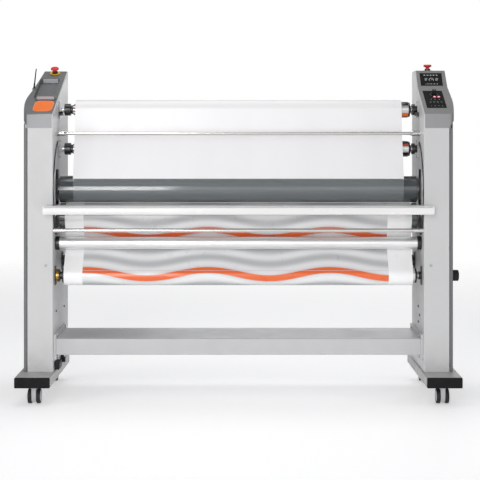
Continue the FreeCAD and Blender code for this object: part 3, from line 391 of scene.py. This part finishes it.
def web_path(circles, step=12.0, turn_step=math.radians(5)):
    """Points (y, z, how free the web is there) along a web that runs round the circles."""
    runs = [tangent(a[0], a[1], b[0], b[1]) for a, b in zip(circles, circles[1:])]
    points = []
    for i, (p, q, theta) in enumerate(runs):
        length = math.hypot(q[0] - p[0], q[1] - p[1])
        count = max(2, int(length / step))
        for k in range(count):
            share = k / count
            free = math.sin(math.pi * share) ** 0.7
            points.append((p[0] + (q[0] - p[0]) * share, p[1] + (q[1] - p[1]) * share, free))
        if i + 1 < len(runs):
            centre, radius = circles[i + 1]
            sweep = (runs[i + 1][2] - theta + math.pi) % (2 * math.pi) - math.pi
            count = max(2, int(abs(sweep) / turn_step))
            for k in range(count):
                angle = theta + sweep * k / count
                points.append((centre[0] + radius * math.cos(angle),
                               centre[1] + radius * math.sin(angle), 0.0))
    points.append((*runs[-1][1], 0.0))
    return points


def web_sheet(name, path, half, look, thickness, sag=0.5, columns=60, start=0.0):
    """A web as a thin closed sheet along the path, with slight tension waves where it runs free."""
    lengths = [start]
    for a, b in zip(path, path[1:]):
        lengths.append(lengths[-1] + math.hypot(b[0] - a[0], b[1] - a[1]))
    verts, uvs, faces = [], [], []
    rows = len(path)
    for side in (1, -1):
        for i, (y, z, free) in enumerate(path):
            a, b = path[max(i - 1, 0)], path[min(i + 1, rows - 1)]
            run = math.hypot(b[0] - a[0], b[1] - a[1]) or 1.0
            ny, nz = -(b[1] - a[1]) / run, (b[0] - a[0]) / run
            for k in range(columns + 1):
                x = -half + 2 * half * k / columns
                wave = noise.noise(Vector((x * 0.004, lengths[i] * 0.0016, half))) * sag * free
                off = wave + side * thickness / 2
                verts.append((x, y + ny * off, z + nz * off))
                uvs.append((x * MM, lengths[i] * MM))
    width = columns + 1
    other = rows * width
    for i in range(rows - 1):
        for k in range(columns):
            a = i * width + k
            faces.append((a, a + 1, a + width + 1, a + width))
            faces.append((other + a, other + a + width, other + a + width + 1, other + a + 1))
        for k in (0, columns):
            a = i * width + k
            faces.append((a, a + width, other + a + width, other + a) if k == 0
                         else (a, other + a, other + a + width, a + width))
    for i in (0, rows - 1):
        for k in range(columns):
            a = i * width + k
            faces.append((a, other + a, other + a + 1, a + 1) if i == 0
                         else (a, a + 1, other + a + 1, other + a))
    made = piece(name, verts, faces, look, "root", uvs=uvs)
    return made, (lengths[-1] - start) * MM


def roll_skin(name, shaft, looks, body, start_angle, start_length, turn, node):
    """Outer skin and wound ends of a roll. The skin carries on the length of its web."""
    y, z, half, radius = SHAFTS[shaft]
    layers = [radius - 0.8 - 0.9 * k for k in range(int((radius - CORE_R - 0.8) / 0.9) + 1)]
    segments = 96
    profile = [(-half, radius), (half, radius)]
    for k, r in enumerate(layers):
        push = 0.5 * noise.noise(Vector((k * 1.7, half, radius)))
        profile += [(half - 0.5 + push, r + 0.8), (half - 0.5 + push, r)]
    profile += [(half - 0.2, CORE_R), (-half + 0.2, CORE_R)]
    for k, r in reversed(list(enumerate(layers))):
        push = 0.5 * noise.noise(Vector((k * 1.7, -half, radius)))
        profile += [(-half + 0.5 - push, r), (-half + 0.5 - push, r + 0.8)]
    verts, faces = lathe_mesh(profile, (y, z), segments)
    uvs = []
    for i in range(segments):
        angle = 2 * math.pi * i / segments
        length = start_length - ((turn * (start_angle - angle)) % (2 * math.pi)) * radius
        uvs += [(x * MM, length * MM) for x, _ in profile]
    n = len(profile)
    made = piece(name, verts, faces, looks, body, uvs=uvs)
    for face in made.data.polygons:
        xs = [made.data.vertices[i].co.x for i in face.vertices]
        face.material_index = 0 if max(xs) - min(xs) > half * MM and face.index % n == 0 else 1
    fix_normals(made)
    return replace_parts(made, node)


# --- materials -------------------------------------------------------------------------
FRAME = painted("Frame_powder_coat", "CCCCCC", 0.40, 0.25)
COVER = painted("Cover_powder_coat", "6C6C6E", 0.42, 0.25)
# painted shade: the recessed neck of the side covers is coloured darker for the shade in the gap
COVER_NECK_PAINTED_SHADE = painted("Cover_neck_painted_shade", "3C3C3E", 0.45)
FOOT = painted("Foot_powder_coat", "B0B0B1", 0.42, 0.6)
BEAM = painted("Beam_powder_coat", "C6C6C8", 0.40, 0.2)
WHITE_TABLE = painted("Table_powder_coat", "D8D8D6", 0.38)
NOSE = painted("Nose_gloss_coat", "EFEEED", 0.22)
DARK_STEEL = painted("Dark_steel", "3A3A3B", 0.45)
BLACK = moulded("Black_plastic", "141415", 0.5, shine=0.3)
CAP_BLACK = moulded("Cap_black_plastic", "101011", 0.6, shine=0.2)
SATIN_BLACK = moulded("Satin_black", "161617", 0.32, 600, 0.08, 0.3)
CONSOLE_DARK = moulded("Console_dark_plastic", "6C6E6E", 0.46)
CONSOLE_BAND = moulded("Console_light_plastic", "A6A6A7", 0.48)
CONSOLE_MID = moulded("Console_mid_plastic", "7E7E7C", 0.46)
CONSOLE_FRONT = moulded("Console_front_plastic", "959597", 0.46)
# painted highlight: a lighter copy of the console plastic for the tray faces that catch the front light
TRAY_PAINTED_HIGHLIGHT = moulded("Tray_painted_highlight_plastic", "C4C4CA", 0.4)
HOOD = moulded("Castor_grey_plastic", "B8B8BA", 0.45)
STEEL = turned_metal("Ground_steel", "C9C8C6", 0.26, (50, 1, 1))
BRIGHT = turned_metal("Bright_bar", "CFCECC", 0.15, (50, 1, 1), 1.0, 0.03)
ALUMINIUM = turned_metal("Satin_anodised", "E8E8E8", 0.36, (0.02, 1, 1), 0.8, 0.03, 500)
TUBE = turned_metal("Shaft_tube", "D5D5D3", 0.32, (40, 1, 1), 0.8)
BRASS = turned_metal("Brass_coupling", "C9A24A", 0.26, (50, 1, 1))
ROLLER = rubber("Roller_silicone", "454A4C", 0.07, 0.08, 0.5, 1.6)
TYRE = rubber("Tyre_rubber", "0E0E0F", 0.6)
MAT = rubber("Mat_orange_rubber", "FF7A1E", 0.5)
# painted highlight: the mat's raised rim is a lighter orange than the mat itself
MAT_EDGE_PAINTED_HIGHLIGHT = rubber("Mat_edge_painted_highlight_rubber", "F79862", 0.42)
GRIP_ORANGE = rubber("Grip_orange", "E8752E", 0.5)
GRIP_PINK = rubber("Grip_pink", "E06A6E", 0.5)
GRIP_RED = rubber("Grip_red", "C84A3A", 0.5)
RED = clean("Stop_red", "DC2A30", 0.30)
YELLOW = clean("Stop_yellow", "F0C63A", 0.35)
PINK = clean("Lit_button", "E0506E", 0.25, 0.0, 0.35)
LENS = clean("Button_lens", "F4B8C4", 0.2, 0.0, 0.5)
PANEL_BLACK = moulded("Panel_black_foil", "101011", 0.7, 900, 0.15, shine=0.2)
GLASS_BLACK = clean("Screen_glass", "131314", 0.08)
READOUT = clean("Readout_white", "A9ABAD", 0.4, 0.0, 0.12)
PRINTED_WHITE = clean("Panel_print", "E4E4E4", 0.5)
# painted shadow: dark colour for the strip laid along the nose bar's top edge
SEAM_PAINTED_SHADOW = clean("Seam_shadow", "6E6C6A", 0.6)
GEAR = painted("Gear_enamel", "5A5F62", 0.5)
FILM = flat_film("Film_white", "F5F3F4")
CLEAR = clear_film("Film_clear")
FILM_ROLL = {name: layered("Film_roll_" + name, "F1F0F0", name) for name in ("supply", "rewind")}
PRINT = print_look("Print_artwork")
PRINT_END = {name: layered("Print_roll_" + name, "EDEBE8", name) for name in ("unwind", "takeup")}


# --- CAD nodes -----------------------------------------------------------------------------
def paint_nodes():
    """Materials of all CAD nodes."""
    plain = {
        "feet": FOOT, "foot_end_caps": CAP_BLACK, "left_side_frame": FRAME, "right_side_frame": FRAME,
        "upper_roller_core": STEEL, "lower_roller_core": STEEL,
        "upper_roller_sleeve": ROLLER, "lower_roller_sleeve": ROLLER, "lower_bearing_blocks": DARK_STEEL,
        "lift_cylinders": ALUMINIUM, "gear_motor": GEAR,
        "supply_shaft": TUBE, "rewind_shaft": TUBE, "unwind_shaft": TUBE, "takeup_shaft": TUBE,
        "supply_collars": SATIN_BLACK, "rewind_collars": SATIN_BLACK, "unwind_collars": SATIN_BLACK,
        "supply_roll": FILM_ROLL["supply"], "rewind_roll": FILM_ROLL["rewind"],
        "guide_bars": BRIGHT, "idler_tube": ALUMINIUM, "feed_table": WHITE_TABLE, "table_nose": NOSE,
        "table_nose_caps": NOSE, "table_arms": DARK_STEEL, "crossbar": BEAM,
        "tool_mat": MAT, "left_console_base": CONSOLE_BAND,
        "display_screen": GLASS_BLACK, "control_panel": PANEL_BLACK, "left_estop_button": RED,
        "right_estop_button": RED, "estop_collars": SATIN_BLACK, "speed_knob": SATIN_BLACK,
        "start_button": PINK, "stop_button": PINK, "tension_knob": BLACK, "antenna": BLACK,
        "service_inlets": BLACK,
    }
    for node, look in plain.items():
        paint(node, (look, None))
    for place in ("front_left", "front_right", "back_left", "back_right"):
        paint("castor_hood_" + place, (HOOD, None))
        paint("castor_wheels_" + place, (TYRE, None))
    paint("left_console", (CONSOLE_BAND, lambda x, y, z: y < -178.5), (CONSOLE_DARK, None))
    paint("right_console", (CONSOLE_FRONT, lambda x, y, z: y < -178.5), (CONSOLE_MID, None))
    # painted shade: the neck faces near the flange get the dark coat
    paint("side_covers", (COVER_NECK_PAINTED_SHADE, lambda x, y, z: abs(x) < 961.9 and z > 1050), (COVER, None))
    paint("roller_guides", (ALUMINIUM, lambda x, y, z: 905 < z < 1045 and 7 < y < 21), (SATIN_BLACK, None))
    paint("upper_bearing_blocks", (BRIGHT, lambda x, y, z: z > 1003), (DARK_STEEL, None))
    paint("bar_end_fittings", (SATIN_BLACK, lambda x, y, z: z < 745), (BRIGHT, None))
    paint("frame_fasteners",
          (BLACK, lambda x, y, z: abs(x) > 958.5),
          (BLACK, lambda x, y, z: 320 < z < 415 and abs(x) > 836),
          (FOOT, lambda x, y, z: y < -178),
          (BRIGHT, None))
    paint("shaft_saddles",
          (FRAME, lambda x, y, z: abs(x) > 839.4 and abs(y - 15) < 24 and z > 1000
           and (z > 1318 or z < 1290)),
          (FRAME, lambda x, y, z: x < -820 and z > 1000 and not 1290 < z < 1316),
          (DARK_STEEL, lambda x, y, z: abs(x) > 839.4 and z < 700),
          (BRASS, lambda x, y, z: x < -829 and z < 600 and y < 0),
          (SATIN_BLACK, None))


# --- webs and rolls -----------------------------------------------------------------------------
def make_print():
    """Printed web from the unwind roll to the take-up roll, and the skins of both rolls."""
    unwind, takeup = SHAFTS["unwind"], SHAFTS["takeup"]
    path = web_path([(unwind[:2], unwind[3] + WEB_REACH), (IDLER[:2], -(IDLER[2] + WEB_REACH)),
                     ((ROLLER_Y, LOWER_Z), ROLLER_R + WEB_REACH), (takeup[:2], takeup[3] + WEB_REACH)])
    start = 70.0
    web, length = web_sheet("Print_sheet", path, unwind[2], PRINT, WEB_T, start=start)
    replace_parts(web, "print_web")
    first = math.atan2(path[0][1] - unwind[1], path[0][0] - unwind[0])
    last = math.atan2(path[-1][1] - takeup[1], path[-1][0] - takeup[0])
    roll_skin("Unwind_print_roll", "unwind", [PRINT, PRINT_END["unwind"]], "unwind_assembly",
              first, start, -1, "unwind_roll")
    roll_skin("Takeup_print_roll", "takeup", [PRINT, PRINT_END["takeup"]], "takeup_assembly",
              last, start + length / MM, -1, "takeup_roll")


def make_film():
    """White film from the supply roll to the rewind roll, and the clear film to the nip."""
    supply, rewind = SHAFTS["supply"], SHAFTS["rewind"]
    away = ROLLER_R + 1.0 + FOLD_R + WEB_T
    fold = (ROLLER_Y - away * math.sin(FOLD_ANGLE), UPPER_Z + LIFT + away * math.cos(FOLD_ANGLE))
    path = web_path([(supply[:2], -(supply[3] + WEB_REACH)), (GUIDE[:2], GUIDE[2] + WEB_REACH),
                     (fold, -FOLD_R), (rewind[:2], rewind[3] + WEB_REACH)])
    film, length = web_sheet("Film_sheet", path, supply[2], FILM, WEB_T, sag=0.6)
    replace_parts(film, "film_web")
    nip = (ROLLER_Y - 20, LOWER_Z + ROLLER_R + 3)
    path = web_path([(fold, -(FOLD_R + 0.8)), ((ROLLER_Y, UPPER_Z), -(ROLLER_R + 0.8)), (nip, -0.01)])
    film, length = web_sheet("Clear_film_sheet", path, supply[2], CLEAR, 0.2, sag=0.3)


# rubber strips on the film shafts' right ends: material, lowest and highest angle seen from the front
GRIP_STRIPS = {
    "supply": ((SATIN_BLACK, 34, 76), (GRIP_ORANGE, -58, -27), (SATIN_BLACK, -88, -61),
               (SATIN_BLACK, 150, 200)),
    "rewind": ((SATIN_BLACK, 44, 82), (GRIP_RED, 23, 42), (SATIN_BLACK, -82, -28), (SATIN_BLACK, 150, 200)),
}


def make_grips():
    """Rubber strips let into the ends of the two film shafts."""
    for shaft, body in (("supply", "supply_assembly"), ("rewind", "rewind_assembly")):
        y, z, half = SHAFTS[shaft][:3]
        for number, (look, low, high) in enumerate(GRIP_STRIPS[shaft]):
            profile = [(half + 1.5, TUBE_R - 0.4), (half + 33, TUBE_R - 0.4), (half + 33, TUBE_R + 1.4),
                       (half + 31, TUBE_R + 2.4), (half + 4, TUBE_R + 2.4), (half + 1.5, TUBE_R + 1.4)]
            lathe(f"Grip_{shaft}_{number}", profile, (y, z), look, body, segments=10,
                  start=math.pi - math.radians(high), sweep=math.radians(high - low), ring=False)
        for number, angle in enumerate(JAW_ANGLES):
            profile = [(-half - 7, 24.5), (-half + 6, 34.0), (-half + 6, 36.4), (-half - 7, 27.2)]
            lathe(f"Jaw_pad_{shaft}_{number}", profile, (y, z), GRIP_PINK, body,
                  segments=6, start=math.radians(angle) + 0.18, sweep=0.30, ring=False)


# --- castors ---------------------------------------------------------------------------------------
def make_castor_discs():
    """Grey side discs in the wheels' dishes."""
    profile_out = [(0.0, 3.0), (0.0, 22.8), (-1.0, 23.6), (-2.4, 23.6), (-2.4, 20.6), (-1.1, 19.2),
                   (-1.1, 13.0), (0.2, 11.6), (0.9, 8.0), (0.9, 3.0)]
    for fb, y in (("front", -262.0), ("back", 262.0)):
        for lr, x in (("left", -915.5), ("right", 915.5)):
            for side in (-1, 1):
                face = x + side * (11 + 17)
                profile = [(face + side * dx, r) for dx, r in profile_out]
                lathe(f"Castor_disc_{fb}_{lr}_{'outer' if side * x > 0 else 'inner'}", profile,
                      (y + 16, 33.0), HOOD, f"wheels_{fb}_{lr}", segments=40)


# --- consoles -------------------------------------------------------------------------------------
LEFT_SLOPE = math.atan2(219, 492)
PANEL_SLOPE = math.atan2(113, 198)
SCREEN_SLOPE = math.atan2(81, 63)
LEFT_TOP = Place((0, -175, 1302), LEFT_SLOPE)
PANEL_TOP = Place((0, -152, 1319), PANEL_SLOPE)
SCREEN_TOP = Place((0, 46, 1432), SCREEN_SLOPE)


def along_left(y):
    return (y + 175) / math.cos(LEFT_SLOPE)


def along_panel(y):
    return (y + 152) / math.cos(PANEL_SLOPE)


def along_screen(y):
    return (y - 46) / math.cos(SCREEN_SLOPE)


def make_left_console():
    """Mat with its raised edge, the tool tray's ridge and back wall, and the ring of the stop. The mat's
    lighter rim and the light tray walls are painted highlight.
    """
    v0, v1 = along_left(-153) + 0.6, along_left(-153) + 124.2
    outer = rounded_rect(-944.4, -854.6, v0, v1, 27.4, 10)
    inner = rounded_rect(-940, -859, v0 + 3, v1 - 6, 23, 10)
    # painted highlight: the rim is coloured lighter than the pad
    plates("Mat_edge", LEFT_TOP, [outer], 0.8, 2.6, MAT_EDGE_PAINTED_HIGHLIGHT, "root", 0.8)
    plates("Mat_pad", LEFT_TOP, [inner], 1.5, 3.4, MAT, "root", 0.7)
    # painted highlight: the ridge front and the tray's back wall are light plates standing in for the light
    # they catch
    ridge = Place(LEFT_TOP.origin, LEFT_SLOPE)
    v0, v1 = along_left(-24) - 1.0, along_left(-24) + 0.5
    front = Place(ridge.at(0, v0, 0), LEFT_SLOPE + math.pi / 2)
    outline = rounded_rect(-942, -859, 2.5, 17.5, 7.4, 8)
    plates("Ridge_front_painted_highlight", front, [outline], 0.0, 1.4, TRAY_PAINTED_HIGHLIGHT, "root", 0.6)
    back = Place(ridge.at(0, along_left(227) - 1.2, -25), LEFT_SLOPE + math.pi / 2)
    outline = rounded_rect(-956, -874, 1.0, 23.0, 4, 5)
    plates("Tray_back_painted_highlight", back, [outline], 0.0, 1.0, TRAY_PAINTED_HIGHLIGHT, "root", 0.4)
    ring = [ring_plate(-902, along_left(286), 14.0, 25.2, a, math.pi) for a in (0, math.pi)]
    plates("Stop_ring", LEFT_TOP, ring, 2.2, 3.4, YELLOW, "root", 0.0)


GUIDE_FRONT = [(-175, 889), (-174.5, 950), (-174, 1015), (-158, 1065), (-128, 1110), (-88, 1147), (-42, 1176)]
GUIDE_BACK = [(-132, 889), (-133, 950), (-132, 1010), (-119, 1052), (-94, 1092), (-58, 1130), (-16, 1160)]


def make_guide_inlays():
    """Bright wear strips along the middle of the curved guides."""
    verts, faces = [], []
    for side in (-1, 1):
        first = len(verts)
        for (ya, za), (yb, zb) in zip(GUIDE_FRONT, GUIDE_BACK):
            for share in (0.34, 0.74):
                for depth in (839.3, 838.4):
                    verts.append((side * depth, ya + (yb - ya) * share, za + (zb - za) * share))
        for i in range(len(GUIDE_FRONT) - 1):
            a, b = first + 4 * i, first + 4 * (i + 1)
            faces += [(a, a + 1, b + 1, b), (a + 1, a + 3, b + 3, b + 1), (a + 3, a + 2, b + 2, b + 3),
                      (a + 2, a, b, b + 2)]
        last = first + 4 * (len(GUIDE_FRONT) - 1)
        faces += [(first, first + 2, first + 3, first + 1), (last, last + 1, last + 3, last + 2)]
    made = piece("Guide_inlays", verts, faces, ALUMINIUM, "root", 40)
    fix_normals(made)


def make_nose_seam():
    """Painted shadow: a dark strip where the table sheet meets the round nose bar."""
    lean = math.radians(41.4)
    place = Place((0, -260.3, 880.5), lean)
    plates("Nose_seam_painted_shadow", place, [[(-871.5, -1.1), (871.5, -1.1), (871.5, 1.1), (-871.5, 1.1)]], -0.3, 0.35,
           SEAM_PAINTED_SHADOW, "root")


KEY_COLUMNS = (888, 905, 922, 939)


def make_right_console():
    """Bezel and read-out of the display, and the marks, keys and lit buttons of the panel."""
    v0, v1 = along_screen(51), along_screen(99)
    frame_line = [rounded_rect(866.5, 965.5, v0 + 2.5, v1 - 2.5, 3)]
    plates("Screen_bezel", SCREEN_TOP, frame_line, 0.3, 1.0, GLASS_BLACK, "root", 0.3)
    marks = []
    top = v1 - 16
    for k in range(5):
        marks.append(rounded_rect(882 + k * 14.5, 890 + k * 14.5, top, top + 5, 1.5, 3))
    middle = (v0 + v1) / 2 - 3
    marks.append(ring_plate(916, middle, 9.0, 11.5, -0.6, math.pi + 1.2))
    marks.append([(914, middle - 1), (924, middle + 6), (925, middle + 4.5), (915.5, middle - 2.5)])
    for k in range(3):
        marks.append(rounded_rect(885, 899 - 3 * k, middle + 7 - 6 * k, middle + 9.4 - 6 * k, 1.1, 3))
        marks.append(rounded_rect(935, 950 - 2 * k, middle + 7 - 6 * k, middle + 9.4 - 6 * k, 1.1, 3))
    for k in range(9):
        height = 2.5 + 3.0 * abs(math.sin(k * 1.3))
        marks.append([(886 + 7 * k, v0 + 8), (889 + 7 * k, v0 + 8), (889 + 7 * k, v0 + 8 + height),
                      (886 + 7 * k, v0 + 8 + height)])
    plates("Screen_readout", SCREEN_TOP, marks, 0.9, 1.15, READOUT, "root")
    knob = (914.0, along_panel(-18))
    marks = [ring_plate(knob[0], knob[1], 15.5, 18.5, math.radians(225 - 27 * k) - 0.03, 0.06, 2)
             for k in range(11)]
    for x in (913.0, 932.0):
        marks.append(circle(x, along_panel(-62), 1.6, 12))
    marks.append(circle(895.0, along_panel(-62), 1.6, 12))
    for x in KEY_COLUMNS:
        marks.append(rounded_rect(x - 4, x + 4, along_panel(-86) - 0.8, along_panel(-86) + 0.8, 0.7, 3))
        marks.append(circle(x, along_panel(-118), 1.4, 12))
    plates("Panel_marks", PANEL_TOP, marks, 0.5, 0.8, PRINTED_WHITE, "root")
    key_row = along_panel(-104)
    keys = [rounded_rect(x - 5.5, x + 5.5, key_row - 4, key_row + 4, 2, 4) for x in KEY_COLUMNS]
    plates("Panel_keys", PANEL_TOP, keys, 0.4, 1.2, CAP_BLACK, "root", 0.4)
    for x, name in ((913.0, "start"), (932.0, "stop")):
        lens = [circle(x, along_panel(-45), 4.6, 24)]
        plates(f"Lens_{name}", PANEL_TOP, lens, 4.3, 5.3, LENS, f"{name}_key", 0.4)
        rim = [ring_plate(x, along_panel(-45), 7.6, 9.6, a, math.pi) for a in (0, math.pi)]
        plates(f"Rim_{name}", PANEL_TOP, rim, 0.4, 1.6, SATIN_BLACK, "root")
    line = [(913.4, knob[1] + 2), (914.6, knob[1] + 2), (914.6, knob[1] + 9.5), (913.4, knob[1] + 9.5)]
    plates("Knob_pointer", PANEL_TOP, [line], 22.8, 23.3, READOUT, "speed_dial")


# --- stage, lights and camera -------------------------------------------------------------------------
CAMERA_AT = (0.0, -5.836, 1.191)
FOCAL_PX = 1244.0
FRAME_PX = 480.0
SENSOR = 36.0
FLOOR_R = 7.0
FLOOR_GLOW = 0.30


def make_stage():
    """Pale floor that fades out, in front of a white backdrop."""
    look = Look("Floor", Specular_IOR_Level=0.2, Roughness=0.6, Base_Color=rgb("F6F6F6"),
                Emission_Color=(1, 1, 1, 1), Emission_Strength=FLOOR_GLOW)
    axes = look.axes()
    reach = look.math("SQRT", look.math("ADD", look.math("MULTIPLY", axes[0], axes[0]),
                                        look.math("MULTIPLY", axes[1], axes[1])))
    look.set(Alpha=look.range(reach, FLOOR_R * 0.95, FLOOR_R * 0.35))
    mesh = bpy.data.meshes.new("Floor")
    points = [Vector((x * MM, y * MM, 0)) for x, y in circle(0, 0, FLOOR_R / MM, 96)]
    mesh.from_pydata(points, [], [tuple(range(96))])
    mesh.materials.append(look.material)
    floor = bpy.data.objects.new("Floor", mesh)
    dome_mesh = bpy.data.meshes.new("Backdrop")
    shell = bmesh.new()
    bmesh.ops.create_uvsphere(shell, u_segments=48, v_segments=24, radius=60)
    shell.to_mesh(dome_mesh)
    shell.free()
    glow = bpy.data.materials.new("Backdrop")
    glow.use_nodes = True
    nodes = glow.node_tree.nodes
    nodes.clear()
    emit = nodes.new("ShaderNodeEmission")
    emit.inputs["Color"].default_value = (1, 1, 1, 1)
    emit.inputs["Strength"].default_value = 1.0
    out = nodes.new("ShaderNodeOutputMaterial")
    glow.node_tree.links.new(emit.outputs[0], out.inputs["Surface"])
    dome_mesh.materials.append(glow)
    dome = bpy.data.objects.new("Backdrop", dome_mesh)
    for obj in (floor, dome):
        bpy.context.scene.collection.objects.link(obj)
    dome.visible_diffuse = dome.visible_glossy = dome.visible_shadow = False


def area_light(name, at, target, size, energy, color=(1, 1, 1)):
    data = bpy.data.lights.new(name, "AREA")
    data.shape = "RECTANGLE"
    data.size, data.size_y = size
    data.energy = energy
    data.color = color
    obj = bpy.data.objects.new(name, data)
    obj.location = at
    obj.rotation_euler = (Vector(target) - Vector(at)).to_track_quat("-Z", "Y").to_euler()
    bpy.context.scene.collection.objects.link(obj)


def make_lights():
    world = bpy.data.worlds.new("World")
    world.use_nodes = True
    back = world.node_tree.nodes["Background"]
    back.inputs["Color"].default_value = (0.95, 0.97, 1.0, 1)
    back.inputs["Strength"].default_value = 0.30
    bpy.context.scene.world = world
    area_light("Key_softbox", (-1.245, -7.2, 2.1), (-0.4, 0, 0.95), (1.07, 4.2), 138)
    area_light("Wide_softbox", (0.5, -8.0, 2.2), (0, 0, 0.95), (6.0, 4.6), 94)
    area_light("Top_softbox", (-0.3, 0.3, 4.2), (0, 0, 0.6), (3.4, 2.4), 50)
    area_light("Left_softbox", (-4.6, -2.2, 2.4), (0, 0, 0.8), (2.2, 2.6), 32)
    area_light("Right_softbox", (4.8, -1.2, 2.4), (0, 0, 0.8), (2.2, 2.6), 32)
    area_light("Back_softbox", (0.8, 6.5, 2.8), (0, 0, 0.8), (3.5, 3.0), 50)


def make_camera():
    data = bpy.data.cameras.new("Camera")
    data.sensor_width = SENSOR
    data.lens = SENSOR * FOCAL_PX / FRAME_PX
    data.shift_x = 1.6 / FRAME_PX
    data.shift_y = -102.0 / FRAME_PX
    data.clip_start, data.clip_end = 0.05, 200.0
    camera = bpy.data.objects.new("Camera", data)
    camera.location = CAMERA_AT
    camera.rotation_euler = (math.pi / 2, 0, 0)
    bpy.context.scene.collection.objects.link(camera)
    bpy.context.scene.camera = camera


paint_nodes()
make_print()
make_film()
make_grips()
make_castor_discs()
make_left_console()
make_right_console()
make_guide_inlays()
make_nose_seam()
make_stage()
make_lights()
make_camera()
bpy.context.scene.view_settings.view_transform = "Standard"
